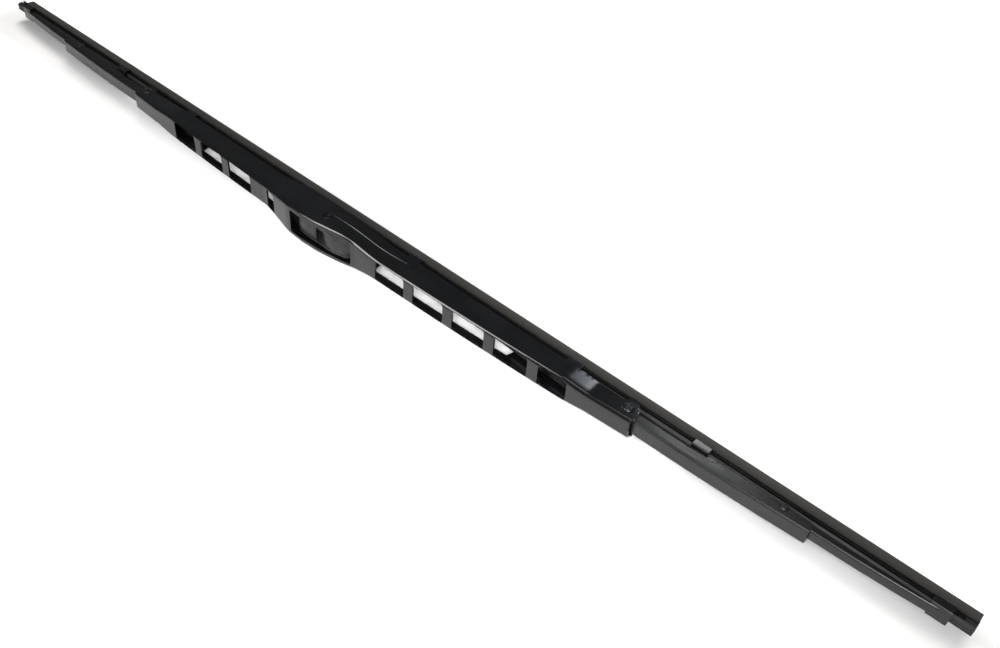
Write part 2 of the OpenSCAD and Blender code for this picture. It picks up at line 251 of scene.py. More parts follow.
@dataclass(frozen=True)
class Stack:
    """The heights of the blade's layers, which all follow from the strip's height and three rises."""

    rubber: float = 9.1
    lever_rise: float = 3.7
    bridge_rise: float = 6.7
    hump_rise: float = 3.4
    rail_depth: float = 1.3
    yoke_gap: float = 0.5
    rivet_gap: float = 0.95
    run_gap: float = 0.05
    ear_gap: float = 0.1
    yoke_pin_radius: float = 0.85
    yoke_sheet: float = 0.7
    pivot_ear: float = 2.9
    pin_depth: float = 7.6

    @property
    def rail_top(self) -> float:
        """The top of the rails."""
        return self.rubber - self.rail_depth

    @property
    def yoke_low(self) -> float:
        """The lower edge of the yokes' walls."""
        return self.rubber + self.yoke_gap

    @property
    def yoke_rivet(self) -> float:
        """The yoke rivets' own line."""
        return self.rubber + self.rivet_gap + self.yoke_pin_radius

    @property
    def yoke_back(self) -> float:
        """The yokes' backs over their rivets."""
        return self.yoke_rivet + self.yoke_pin_radius + self.run_gap + self.yoke_sheet

    @property
    def lever_back(self) -> float:
        """The levers' backs at their highest."""
        return self.yoke_back + self.lever_rise

    @property
    def pivot(self) -> float:
        """The line of the bridge's pivots."""
        return self.lever_back - self.pivot_ear - self.ear_gap

    @property
    def bridge_back(self) -> float:
        """The middle of the bridge's back, without its hump."""
        return self.lever_back + self.bridge_rise

    @property
    def top(self) -> float:
        """The top of the hump."""
        return self.bridge_back + self.hump_rise

    @property
    def arm_pin(self) -> float:
        """The arm pin's own line."""
        return self.top - self.pin_depth


STACK = Stack()


@dataclass(frozen=True)
class BentLine:
    """A value along the blade that follows a broken line with softly bent corners.

    Its corners are tighter beyond a distance from the blade's middle.
    """

    points: tuple[Point, ...]
    bend: float = 2.0
    follow: Callable[[float], float] | None = None
    tight_bend: float = 0.7
    tight_from: float = math.inf
    samples: int = 4

    def raw(self, x: float) -> float:
        """The broken line itself, or the curve that it follows outside its points."""
        if self.follow and not self.points[0][0] <= x <= self.points[-1][0]:
            return self.follow(x)
        return float(np.interp(x, [p[0] for p in self.points], [p[1] for p in self.points]))

    def __call__(self, x: float) -> float:
        """The bent line at a place along the blade: the mean of the broken line round it."""
        bend = self.tight_bend if abs(x) > self.tight_from else self.bend
        spots = [x + bend * k / self.samples for k in range(-self.samples, self.samples + 1)]
        return sum(self.raw(spot) for spot in spots) / len(spots)


class Shell:
    """A mesh under construction, in millimetres."""

    def __init__(self) -> None:
        """Starts an empty mesh."""
        self.bm = bmesh.new()

    def prism(
        self,
        outline: Sequence[Point],
        stations: Sequence[float],
        to_point: Callable[[float, float, float], Vector],
        edge: float = 0.0,
    ) -> None:
        """Adds an outline carried along a line of stations, closed at both ends.

        Args:
            outline: The cross-section's points, in order.
            stations: The places that the cross-section is carried through.
            to_point: Turns a cross-section point and a station into a point in space.
            edge: The width of the bevel round both ends.
        """
        rings = [[self.bm.verts.new(to_point(a, b, s)) for a, b in outline] for s in stations]
        count = len(outline)
        for first, second in zip(rings, rings[1:]):
            for i in range(count):
                j = (i + 1) % count
                self.bm.faces.new((first[i], first[j], second[j], second[i]))
        caps = [self.bm.faces.new(list(reversed(rings[0]))), self.bm.faces.new(rings[-1])]
        if edge:
            self.bevel([e for cap in caps for e in cap.edges], edge)

    def lathe(self, profile: Sequence[Point], centre: Vector, count: int = 40) -> None:
        """Adds a turned piece about a line along Z.

        Args:
            profile: Radius and level of each step, from one end to the other.
            centre: The point on the axis at level zero.
            count: The number of steps round.
        """
        rings = []
        for radius, level in profile:
            if radius == 0:
                rings.append([self.bm.verts.new(centre + Vector((0, 0, level)))])
                continue
            angles = [2 * math.pi * i / count for i in range(count)]
            rings.append(
                [
                    self.bm.verts.new(centre + Vector((radius * math.cos(a), radius * math.sin(a), level)))
                    for a in angles
                ]
            )
        closed = profile[0][0] != 0
        pairs = list(zip(rings, rings[1:])) + ([(rings[-1], rings[0])] if closed else [])
        for first, second in pairs:
            for i in range(count):
                j = (i + 1) % count
                if len(first) == 1:
                    self.bm.faces.new((first[0], second[j], second[i]))
                elif len(second) == 1:
                    self.bm.faces.new((first[i], first[j], second[0]))
                else:
                    self.bm.faces.new((first[i], first[j], second[j], second[i]))

    def bevel(self, edges: Sequence[bmesh.types.BMEdge], width: float, mark: bool = False) -> None:
        """Rounds off edges.

        Args:
            edges: The edges to round.
            width: How far the rounding reaches from each edge.
            mark: Whether the new faces take the object's second material.
        """
        made = bmesh.ops.bevel(
            self.bm, geom=list(edges), offset=width, segments=2, profile=0.5, affect="EDGES", clamp_overlap=True
        )
        if mark:
            for face in made["faces"]:
                face.material_index = 1

    def build(self, name: str, body: Body | None, materials: Sequence[bpy.types.Material]) -> bpy.types.Object:
        """Turns the shell into a smooth-shaded object.

        Args:
            name: The piece's name.
            body: The body that it rides on, or None to leave it unattached.
            materials: Its materials, in slot order.

        Returns:
            The object, in metres.
        """
        bmesh.ops.recalc_face_normals(self.bm, faces=self.bm.faces)
        bmesh.ops.scale(self.bm, vec=(MM, MM, MM), verts=self.bm.verts)
        mesh = bpy.data.meshes.new(name)
        self.bm.to_mesh(mesh)
        self.bm.free()
        mesh.polygons.foreach_set("use_smooth", [True] * len(mesh.polygons))
        mesh.set_sharp_from_angle(angle=SHARP_ANGLE)
        piece = bpy.data.objects.new(name, mesh)
        bpy.context.scene.collection.objects.link(piece)
        for material in materials:
            mesh.materials.append(material)
        weighted = piece.modifiers.new("even_shading", "WEIGHTED_NORMAL")
        weighted.keep_sharp = True
        if body:
            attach(piece, body.value)
        LOG.info("%s: %d faces, on %s", name, len(mesh.polygons), body.value if body else "two bodies")
        return piece


@dataclass(frozen=True)
class Channel:
    """A folded channel of sheet: a flat back, two bends and two walls.

    A place across the sheet is a single number: -1 to 1 over the flat back, 1 to 2 round a bend, and from 2 on
    down a wall, in millimetres past the bend. It is negative on the lower wall.
    """

    back: Callable[[float], float]
    half: Callable[[float], float]
    sheet: float
    bend: float

    def across(self, x: float, v: float, lift: float) -> Vector:
        """A point of the sheet.

        Args:
            x: The place along the blade.
            v: The place across the sheet.
            lift: How far the point lies outside the sheet's middle.

        Returns:
            The point, in millimetres.
        """
        side = math.copysign(1.0, v)
        v = abs(v)
        radius = self.bend - self.sheet / 2
        flat = self.half(x) - self.bend
        top = self.back(x) - self.sheet / 2
        if v <= 1:
            return PLACE.at(x, top + lift, side * v * flat)
        turn = min(v - 1, 1) * math.pi / 2
        level = flat + (radius + lift) * math.sin(turn)
        height = top - radius + (radius + lift) * math.cos(turn) - max(v - 2, 0)
        return PLACE.at(x, height, side * level)

    def on_back(self, x: float, level: float) -> float:
        """The place across the sheet of a level on the back, round the bend if it lies that far out.

        Args:
            x: The place along the blade.
            level: The level, positive on the upper side.

        Returns:
            The place across the sheet.
        """
        flat, radius = self.half(x) - self.bend, self.bend - self.sheet / 2
        if abs(level) <= flat:
            return level / flat
        turn = math.asin(min(1.0, (abs(level) - flat) / radius))
        return math.copysign(1 + turn / (math.pi / 2), level)

    def on_wall(self, x: float, height: float, side: float) -> float:
        """The place across the sheet of a height on a wall, whose side is 1 for the upper and -1 for the lower."""
        return side * (2 + max(0.0, self.back(x) - self.bend - height))

    def wall_line(self, line: Loop, side: float) -> Loop:
        """Carries a line on a wall from heights over to places across the sheet."""
        return [(x, self.on_wall(x, height, side)) for x, height in line]

    def through(self, centre: Point, radius: float, count: int) -> list[Loop]:
        """A round hole through both walls.

        Args:
            centre: Its place along the blade and its height.
            radius: Its radius.
            count: The number of steps round it.

        Returns:
            One loop for each wall, as places along and across the sheet.
        """
        return [self.wall_line(ring(centre, radius, count), side) for side in (-1, 1)]


# The places across a channel from the foot of its upper bend, over its back, to the foot of its lower bend.
OVER_THE_BACK = [2 - 0.2 * k for k in range(21)]


@dataclass(frozen=True)
class Blank:
    """A flat blank for a channel, with its outline and its holes as places along and across the sheet.

    Its mesh follows columns a pitch apart, and rows over the back, the bends and the walls. The depth is how far
    down the walls the rows reach. Both are in millimetres.
    """

    channel: Channel
    outline: Loop
    holes: list[Loop]
    pitch: float
    depth: float
    back_row: float = 0.34
    bend_rows: tuple[float, ...] = (1.0, 1.2, 1.4, 1.6, 1.8, 2.0)
    wall_rows: int = 8
    least_gap: float = 0.28
    tolerance: float = 1e-6
    edge_share: float = 0.2

    def rows(self) -> list[float]:
        """The places across the sheet that its mesh follows."""
        half = [self.back_row, *self.bend_rows]
        half += [2 + self.depth * k / self.wall_rows for k in range(1, self.wall_rows + 1)]
        return [-v for v in reversed(half)] + [0.0] + half

    def fold(self, shell: Shell, mirror_x: float | None = None) -> None:
        """Cuts the blank, folds it into its channel and adds it to a shell.

        Args:
            shell: The mesh to add to.
            mirror_x: Where to mirror the piece along the blade, or None to leave it.
        """
        rows = self.rows()
        ends = [p[0] for p in self.outline]
        count = math.ceil((max(ends) - min(ends)) / self.pitch)
        stations = np.linspace(min(ends), max(ends), count + 1)
        index = np.arange(len(rows))

        def to_grid(loop: Loop) -> np.ndarray:
            """Carries a loop into the mesh's own grid, where its cells are squares."""
            xs = np.interp([p[0] for p in loop], stations, np.arange(count + 1))
            vs = np.interp([p[1] for p in loop], rows, index)
            return np.column_stack([xs, vs])

        border = to_grid(self.outline)
        cuts = [to_grid(hole) for hole in self.holes]
        grid = np.array([(i, j) for i in range(count + 1) for j in range(len(rows))], float)
        keep = inside(grid, border) & (clearance(grid, border) > self.least_gap)
        for cut in cuts:
            keep &= ~inside(grid, cut) & (clearance(grid, cut) > self.least_gap)
        points = list(grid[keep])
        edges = []
        for loop in [border, *cuts]:
            first = len(points)
            points += list(loop)
            edges += [(first + i, first + (i + 1) % len(loop)) for i in range(len(loop))]
        flat, _, faces, *_ = delaunay_2d_cdt([Vector(p) for p in points], edges, [], 0, self.tolerance)
        spots = np.array([tuple(p) for p in flat])
        middles = np.array([spots[list(f)].mean(axis=0) for f in faces])
        wanted = inside(middles, border)
        for cut in cuts:
            wanted &= ~inside(middles, cut)
        faces = [f for f, w in zip(faces, wanted) if w]
        xs = np.interp(spots[:, 0], np.arange(count + 1), stations)
        vs = np.interp(spots[:, 1], index, rows)
        self._thicken(shell, list(zip(xs, vs)), faces, mirror_x)

    def _thicken(self, shell: Shell, spots: Loop, faces: list, mirror_x: float | None) -> None:
        """Gives the cut blank its thickness and rounds its cut edges.

        Args:
            shell: The mesh to add to.
            spots: Places along and across the sheet.
            faces: Triangles of those places.
            mirror_x: Where to mirror the piece along the blade, or None to leave it.
        """
        used = sorted({i for f in faces for i in f})
        skins = []
        for lift in (self.channel.sheet / 2, -self.channel.sheet / 2):
            skin = {}
            for i in used:
                point = self.channel.across(*spots[i], lift)
                if mirror_x is not None:
                    point.x = 2 * mirror_x - point.x
                skin[i] = shell.bm.verts.new(point)
            skins.append(skin)
        outer, inner = skins
        count: dict[tuple[int, int], int] = {}
        for f in faces:
            shell.bm.faces.new([outer[i] for i in f])
            shell.bm.faces.new([inner[i] for i in reversed(f)])
            for a, b in zip(f, f[1:] + f[:1]):
                count[(a, b)] = count.get((a, b), 0) + 1
        rim = []
        for a, b in [e for e in count if (e[1], e[0]) not in count]:
            shell.bm.faces.new((outer[b], outer[a], inner[a], inner[b]))
            rim.append((a, b))
        edges = [shell.bm.edges.get((skin[a], skin[b])) for a, b in rim for skin in skins]
        shell.bevel(edges, self.channel.sheet * self.edge_share, mark=True)


@dataclass(frozen=True)
class BenchNode:
    """One shader node, with its inputs set by name."""

    node: bpy.types.Node

    def out(self, name: str | int = 0) -> bpy.types.NodeSocket:
        """One of the node's outputs."""
        return self.node.outputs[name]


class Bench:
    """A material under construction, whose patterns are measured in millimetres on the piece."""

    # A mix node has several sockets of the same names, so its colours are picked by number.
    MIX_FIRST, MIX_SECOND, MIX_RESULT = 6, 7, 2

    def __init__(self, name: str) -> None:
        """Starts a material with its main shader.

        Args:
            name: The material's name.
        """
        self.material = bpy.data.materials.new(name)
        self.material.use_nodes = True
        self.tree = self.material.node_tree
        self.shader = self.tree.nodes["Principled BSDF"]
        self.places = self.tree.nodes.new("ShaderNodeTexCoord").outputs["Object"]

    def set(self, **values: float | tuple[float, ...]) -> None:
        """Sets values straight on the main shader's own sockets."""
        for name, value in values.items():
            self.shader.inputs[name.replace("_", " ")].default_value = value

    def feed(self, name: str, socket: bpy.types.NodeSocket) -> None:
        """Links a pattern to one of the main shader's inputs."""
        self.tree.links.new(socket, self.shader.inputs[name])

    def add(self, kind: str, settings: dict | None = None, **inputs: object) -> BenchNode:
        """Adds a node.

        Args:
            kind: The node's type.
            settings: The node's own settings.
            **inputs: Values or sockets for its inputs, by name.

        Returns:
            The node.
        """
        node = self.tree.nodes.new(kind)
        for key, value in (settings or {}).items():
            setattr(node, key, value)
        for key, value in inputs.items():
            socket = node.inputs[key.replace("_", " ")]
            if isinstance(value, bpy.types.NodeSocket):
                self.tree.links.new(value, socket)
            else:
                socket.default_value = value
        return BenchNode(node)

    def math(self, operation: str, *values: float | bpy.types.NodeSocket) -> bpy.types.NodeSocket:
        """Works a sum on numbers or patterns.

        Args:
            operation: The sum's name.
            *values: Its one or two operands.

        Returns:
            The result.
        """
        node = self.add("ShaderNodeMath", {"operation": operation})
        for socket, value in zip(node.node.inputs, values):
            if isinstance(value, bpy.types.NodeSocket):
                self.tree.links.new(value, socket)
            else:
                socket.default_value = value
        return node.out()

    def grain(self, per_mm: float, stretch: float = 1.0, detail: float = 3.0) -> bpy.types.NodeSocket:
        """A noise pattern.

        Args:
            per_mm: How many of its features lie in a millimetre.
            stretch: How much longer they are along the blade than across it.
            detail: How fine its finest level is.

        Returns:
            The pattern's value.
        """
        scale = (per_mm / MM / stretch, per_mm / MM, per_mm / MM)
        mapped = self.add("ShaderNodeMapping", Vector=self.places, Scale=scale).out()
        return self.add("ShaderNodeTexNoise", Vector=mapped, Scale=1.0, Detail=detail).out("Fac")

    def ramp(
        self, value: bpy.types.NodeSocket, low: float, high: float, to: Point = (0.0, 1.0)
    ) -> bpy.types.NodeSocket:
        """Stretches part of a pattern's range over another range.

        Args:
            value: The pattern.
            low: The value that becomes the new range's start.
            high: The value that becomes its end.
            to: The new range.

        Returns:
            The stretched pattern.
        """
        node = self.add("ShaderNodeMapRange", {"clamp": True}, Value=value)
        for name, number in zip(("From Min", "From Max", "To Min", "To Max"), (low, high, *to)):
            node.node.inputs[name].default_value = number
        return node.out()

    def blend(self, share: bpy.types.NodeSocket, first: Triple, second: Triple) -> bpy.types.NodeSocket:
        """Mixes two colours by a pattern.

        Args:
            share: The second colour's share.
            first: The colour at zero.
            second: The colour at one.

        Returns:
            The mixed colour.
        """
        node = self.tree.nodes.new("ShaderNodeMix")
        node.data_type = "RGBA"
        self.tree.links.new(share, node.inputs[0])
        node.inputs[self.MIX_FIRST].default_value = (*first, 1)
        node.inputs[self.MIX_SECOND].default_value = (*second, 1)
        return node.outputs[self.MIX_RESULT]

    def bump(self, *layers: tuple[bpy.types.NodeSocket, float]) -> None:
        """Raises the surface by patterns, each with its depth in millimetres."""
        normal = None
        for height, depth in layers:
            inputs = {"Height": height, "Distance": depth * MM, "Strength": 1.0}
            if normal:
                inputs["Normal"] = normal
            normal = self.add("ShaderNodeBump", **inputs).out()
        self.feed("Normal", normal)


@dataclass(frozen=True)
class BlackPaint:
    """Gloss black paint on pressed steel, with a faint ripple, a film of dust and a few rubbed spots."""

    name: str
    colour: Triple = (0.0030, 0.0033, 0.0037)
    gloss: Point = (0.09, 0.17)
    dust: Triple = (0.018, 0.0185, 0.019)
    film_cover: float = 0.22
    speck_cover: float = 0.55
    ripple: float = 0.012
    peel: float = 0.0006

    def make(self) -> bpy.types.Material:
        """Builds the paint."""
        bench = Bench(self.name)
        bench.set(IOR=1.52)
        film = bench.ramp(bench.grain(0.12, stretch=3.0, detail=5.0), 0.45, 0.72, (0.0, self.film_cover))
        specks = bench.ramp(bench.grain(2.6, detail=2.0), 0.68, 0.8, (0.0, self.speck_cover))
        bench.feed("Base Color", bench.blend(bench.math("MAXIMUM", film, specks), self.colour, self.dust))
        bench.feed("Roughness", bench.ramp(bench.grain(0.3, stretch=4.0, detail=6.0), 0.3, 0.75, self.gloss))
        fine = bench.grain(5.0, stretch=8.0, detail=2.0)
        bench.bump((bench.grain(0.16, detail=1.0), self.ripple), (fine, self.peel))
        return bench.material


@dataclass(frozen=True)
class CutEdge:
    """Paint drawn thin over a cut edge, with glints of bare steel."""

    name: str
    paint: Triple = (0.006, 0.0062, 0.0066)
    steel: Triple = (0.11, 0.115, 0.12)
    glint: float = 0.8
    gloss: Point = (0.2, 0.38)
    burr: float = 0.006

    def make(self) -> bpy.types.Material:
        """Builds the edge's finish."""
        bench = Bench(self.name)
        bare = bench.ramp(bench.grain(0.7, stretch=3.0, detail=5.0), 0.60, 0.74)
        bench.feed("Base Color", bench.blend(bare, self.paint, self.steel))
        bench.feed("Metallic", bench.ramp(bare, 0, 1, (0.0, self.glint)))
        bench.feed("Roughness", bench.ramp(bench.grain(1.2), 0.3, 0.7, self.gloss))
        bench.bump((bench.grain(2.5, stretch=2.0), self.burr))
        return bench.material


@dataclass(frozen=True)
class WipingRubber:
    """Extruded rubber with a brownish-grey bloom on its lip, and nearly black towards its crown: partly the rubber's
    own black and partly painted shade under the claws and the frame.

    The bloom grows from none at the upper of two heights on the lip to its full strength at the lower; above that
    the rubber keeps its dark colour as painted shade.
    """

    name: str
    colour: Triple = (0.008, 0.0078, 0.0074)
    bloom: Triple = (0.040, 0.037, 0.033)
    # The heights where the lip's bloom gives way upwards to the painted shade of the crown.
    bloom_to_shade: Point = (3.4, 6.2)
    haze: Point = (0.55, 1.0)
    gloss: Point = (0.52, 0.74)
    drag_lines: float = 0.012
    pores: float = 0.004

    def make(self) -> bpy.types.Material:
        """Builds the rubber."""
        bench = Bench(self.name)
        bench.set(IOR=1.5)
        haze = bench.ramp(bench.grain(0.35, stretch=30.0, detail=5.0), 0.3, 0.7, self.haze)
        along_y = bench.add("ShaderNodeSeparateXYZ", Vector=bench.places).out("Y")
        # Bloom low on the lip; the rubber above keeps its dark colour, which stands in as painted shade under the
        # claws and the frame.
        low, high = (PLACE.at(0, height, 0).y * MM for height in reversed(self.bloom_to_shade))
        share = bench.math("MULTIPLY", haze, bench.ramp(along_y, low, high))
        bench.feed("Base Color", bench.blend(share, self.colour, self.bloom))
        bench.feed("Roughness", bench.ramp(bench.grain(1.5, stretch=12.0, detail=4.0), 0.3, 0.7, self.gloss))
        lines = bench.grain(2.2, stretch=60.0)
        bench.bump((lines, self.drag_lines), (bench.grain(9.0, detail=2.0), self.pores))
        return bench.material


@dataclass(frozen=True)
class Steel:
    """Bare steel, rolled or turned."""

    name: str
    colour: Triple = (0.33, 0.34, 0.35)
    stretch: float = 40.0
    gloss: Point = (0.24, 0.44)
    dull_share: float = 0.62
    scratch: float = 0.003

    def make(self) -> bpy.types.Material:
        """Builds the steel."""
        bench = Bench(self.name)
        bench.set(Metallic=1.0)
        dull = bench.ramp(bench.grain(0.8, stretch=self.stretch / 4, detail=5.0), 0.35, 0.75)
        darker = tuple(c * self.dull_share for c in self.colour)
        bench.feed("Base Color", bench.blend(dull, self.colour, darker))
        bench.feed("Roughness", bench.ramp(bench.grain(5.0, stretch=self.stretch), 0.3, 0.7, self.gloss))
        bench.bump((bench.grain(7.0, stretch=self.stretch, detail=2.0), self.scratch))
        return bench.material


@dataclass(frozen=True)
class Moulded:
    """Dark moulded plastic with a fine satin grain and a little dust."""

    name: str
    colour: Triple = (0.010, 0.0108, 0.0114)
    dust: Triple = (0.040, 0.042, 0.043)
    dust_cover: float = 0.45
    gloss: Point = (0.34, 0.5)
    satin: float = 0.006

    def make(self) -> bpy.types.Material:
        """Builds the plastic."""
        bench = Bench(self.name)
        bench.set(IOR=1.49)
        film = bench.ramp(bench.grain(0.5, detail=5.0), 0.45, 0.75, (0.0, self.dust_cover))
        bench.feed("Base Color", bench.blend(film, self.colour, self.dust))
        bench.feed("Roughness", bench.ramp(bench.grain(1.5), 0.3, 0.7, self.gloss))
        bench.bump((bench.grain(6.0, detail=2.0), self.satin))
        return bench.material


@dataclass(frozen=True)
class Finishes:
    """All the finishes of the blade, built once."""

    bridge: bpy.types.Material
    lever: bpy.types.Material
    yoke: bpy.types.Material
    edge: bpy.types.Material
    rivet: bpy.types.Material
    bush: bpy.types.Material
    pin: bpy.types.Material
    adapter: bpy.types.Material
    rubber: bpy.types.Material
    rail: bpy.types.Material

    @classmethod
    def make(cls) -> "Finishes":
        """Builds every finish."""
        return cls(
            bridge=BlackPaint("bridge_paint").make(),
            lever=BlackPaint("lever_paint", gloss=(0.22, 0.34)).make(),
            yoke=BlackPaint("yoke_paint", gloss=(0.18, 0.3)).make(),
            edge=CutEdge("painted_edge").make(),
            rivet=BlackPaint("rivet_paint", colour=(0.005, 0.0053, 0.0056), gloss=(0.2, 0.34)).make(),
            bush=Moulded("bush_plastic", colour=(0.015, 0.0155, 0.016)).make(),
            pin=Steel("pin_steel", colour=(0.05, 0.052, 0.055), stretch=1.0).make(),
            adapter=Moulded("adapter_plastic").make(),
            rubber=WipingRubber("wiping_rubber").make(),
            # Nearly black steel for the rails; part of that darkness is painted shade in the strip's groove under
            # the frame.
            rail=Steel("rail_steel", colour=(0.018, 0.0185, 0.019), gloss=(0.4, 0.55)).make(),
        )


@dataclass(frozen=True)
class Bridge:
    """The main bridge: a long channel with a swollen centre hump, a slot and windows in its back.

    The hump and the swelling of its sides are given as distances from the arm pin, the narrowing and the ends as
    distances from the pivots.
    """

    pivot_x: float = 149.0
    pivot_height: float = STACK.pivot
    ear_radius: float = 4.4
    ear_steps: int = 18
    rivet_radius: float = 1.5
    sheet: float = 0.9
    bend: float = 1.7
    middle_height: float = STACK.bridge_back
    hump_height: float = STACK.top
    hump_feet: Point = (-39.0, 19.0)
    hump_shoulders: Point = (-20.0, -1.0)
    hump_bend: float = 1.6
    shoulder_drop: float = 0.4
    arc_radius: float = 2500.0
    swell_feet: Point = (-36.0, 30.0)
    swell_flat: Point = (-17.0, 13.0)
    swell_bend: float = 4.5
    half_hump: float = 8.5
    half_middle: float = 5.9
    half_end: float = 4.9
    narrowing: Triple = (26.2, 17.3, 15.7)
    narrowing_room: float = 8.0
    joggle: float = 0.22
    end_room: float = 10.0
    end_reach: float = 4.2
    belly_reach: float = 5.0
    belly_drop: float = 2.5
    edge_height: float = STACK.yoke_low + 1.3
    flange: float = 4.3
    flange_spans: tuple[Point, Point] = ((-103.2, -39.7), (18.0, 95.0))
    flange_run: float = 1.5
    flange_steps: int = 24
    pin_x: float = -8.0
    pin_height: float = STACK.arm_pin
    pin_radius: float = 2.0
    window_half: float = 4.75
    window_length: float = 16.6
    window_pitch: float = 21.7
    window_corner: float = 1.1
    window_step: float = 1.0
    first_right_window: float = 25.0
    right_windows: int = 4
    first_left_window: float = -74.2
    left_windows: int = 3
    short_window: Point = (111.8, 125.2)
    small_window: Point = (-45.0, -39.2)
    slot: Point = (-25.5, 10.0)
    slot_half: float = 5.9
    bead: tuple[Point, Point] = ((-15.0, 16.6), (38.0, 14.5))
    bead_half: float = 0.85
    bead_rise: float = 0.36
    bead_sink: float = 0.06
    bead_tip: float = 0.02
    bead_steps: int = 60
    edge_step: float = 1.2
    mesh_pitch: float = 1.2
    mesh_depth: float = 14.5

    def back_curve(self, x: float) -> float:
        """The bridge's back without its hump."""
        return self.middle_height - x * x / (2 * self.arc_radius)

    def channel(self) -> Channel:
        """The folded section of the bridge along its length."""
        feet, shoulders, swell_feet, swell_flat = (
            [self.pin_x + distance for distance in distances]
            for distances in (self.hump_feet, self.hump_shoulders, self.swell_feet, self.swell_flat)
        )
        shoulder = self.hump_height - self.shoulder_drop
        ridge = (
            (feet[0], self.back_curve(feet[0])),
            (shoulders[0], shoulder),
            (sum(shoulders) / 2, self.hump_height),
            (shoulders[1], shoulder),
            (feet[1], self.back_curve(feet[1])),
        )
        swell = [
            (swell_feet[0], self.half_middle), (swell_flat[0], self.half_hump),
            (swell_flat[1], self.half_hump), (swell_feet[1], self.half_middle),
        ]
        start, step, stop = (self.pivot_x - distance for distance in self.narrowing)
        right = [
            (start, self.half_middle), (step, self.half_end + self.joggle),
            (stop, self.half_end), (self.pivot_x + self.end_room, self.half_end),
        ]
        left = [(-x, half) for x, half in reversed(right)]
        return Channel(
            back=BentLine(ridge, self.hump_bend, self.back_curve),
            half=BentLine((*left, *swell, *right), self.swell_bend, tight_from=start - self.narrowing_room),
            sheet=self.sheet,
            bend=self.bend,
        )

    def holes(self, channel: Channel) -> list[Loop]:
        """The windows, the slot and the rivet and pin holes, as places along and across the sheet.

        Args:
            channel: The folded section that they are cut in.

        Returns:
            One loop for each hole.
        """
        starts = [self.first_right_window + i * self.window_pitch for i in range(self.right_windows)]
        starts += [self.first_left_window - i * self.window_pitch for i in range(self.left_windows)]
        spans = [(x, x + self.window_length) for x in starts] + [self.short_window, self.small_window]
        boxes = [(*span, self.window_half) for span in spans] + [(*self.slot, self.slot_half)]
        holes = []
        for low, high, half in boxes:
            corners = [(low, -half), (high, -half), (high, half), (low, half)]
            loop = dense(rounded(corners, self.window_corner), self.window_step)
            holes.append([(x, channel.on_back(x, level)) for x, level in loop])
        for x, height, radius in (
            (-self.pivot_x, self.pivot_height, self.rivet_radius),
            (self.pivot_x, self.pivot_height, self.rivet_radius),
            (self.pin_x, self.pin_height, self.pin_radius),
        ):
            holes += channel.through((x, height), radius, count=28)
        return holes

    def wall_edge(self, channel: Channel, shallow: bool) -> Loop:
        """The lower edge of one wall, from left to right, as places along the blade and heights.

        Args:
            channel: The folded section.
            shallow: Whether the wall is only a flange beside the windows.

        Returns:
            The edge's points.
        """
        drop = math.degrees(math.asin((self.pivot_height - self.edge_height) / self.ear_radius))
        left = arc((-self.pivot_x, self.pivot_height), self.ear_radius, 180, 360 - drop, self.ear_steps)
        right = arc((self.pivot_x, self.pivot_height), self.ear_radius, 180 + drop, 360, self.ear_steps)
        steps: Loop = []
        if shallow:
            for low, high in self.flange_spans:
                run = high - low - 2 * self.flange_run
                inner = [low + self.flange_run + run * i / self.flange_steps for i in range(self.flange_steps + 1)]
                steps.append((low, self.edge_height))
                steps += [(x, channel.back(x) - self.flange) for x in inner]
                steps.append((high, self.edge_height))
        return left + steps + right

    def outline(self, channel: Channel) -> Loop:
        """The blank's outline, as places along and across the sheet.

        Args:
            channel: The folded section.

        Returns:
            The closed outline.
        """
        end_x, belly_x = self.pivot_x + self.end_reach, self.pivot_x + self.belly_reach
        belly_height = self.back_curve(belly_x) - self.belly_drop
        near = channel.wall_line(dense_line(self.wall_edge(channel, shallow=False), self.edge_step), 1)
        far = channel.wall_line(dense_line(self.wall_edge(channel, shallow=True), self.edge_step), -1)
        right = [(belly_x, channel.on_wall(belly_x, belly_height, 1))]
        right += [(end_x, v) for v in OVER_THE_BACK]
        right.append((belly_x, channel.on_wall(belly_x, belly_height, -1)))
        left = [(-x, -v) for x, v in right]
        return near + right + far[::-1] + left

    def add_bead(self, shell: Shell, channel: Channel) -> None:
        """Adds the stiffening bead that runs along the upper wall beside the hump.

        Args:
            shell: The mesh to add to.
            channel: The folded section.
        """
        (start, start_height), (end, end_height) = self.bead
        stations = [start + (end - start) * i / self.bead_steps for i in range(self.bead_steps + 1)]

        def to_point(a: float, b: float, x: float) -> Vector:
            """A point of the bead, which tapers to nothing at both ends.

            Args:
                a: How far the point lies along the wall's height, as a share of the bead's half width.
                b: How far it stands out, as a share of the bead's rise.
                x: The place along the blade.

            Returns:
                The point, in millimetres.
            """
            share = (x - start) / (end - start)
            swell = math.sqrt(math.sin(math.pi * min(max(share, self.bead_tip), 1 - self.bead_tip)))
            height = start_height + (end_height - start_height) * share
            level = channel.half(x) - self.bead_sink
            return PLACE.at(x, height + self.bead_half * a * swell, level + self.bead_rise * b * swell)

        shell.prism(ring((0, 0), 1.0, count=16), stations, to_point)

    def build(self, finishes: Finishes) -> None:
        """Builds the bridge and dresses it.

        Args:
            finishes: The blade's finishes.
        """
        channel = self.channel()
        shell = Shell()
        Blank(channel, self.outline(channel), self.holes(channel), self.mesh_pitch, self.mesh_depth).fold(shell)
        self.add_bead(shell, channel)
        piece = shell.build("bridge_channel", Body.BRIDGE, (finishes.bridge, finishes.edge))
        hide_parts("bridge")


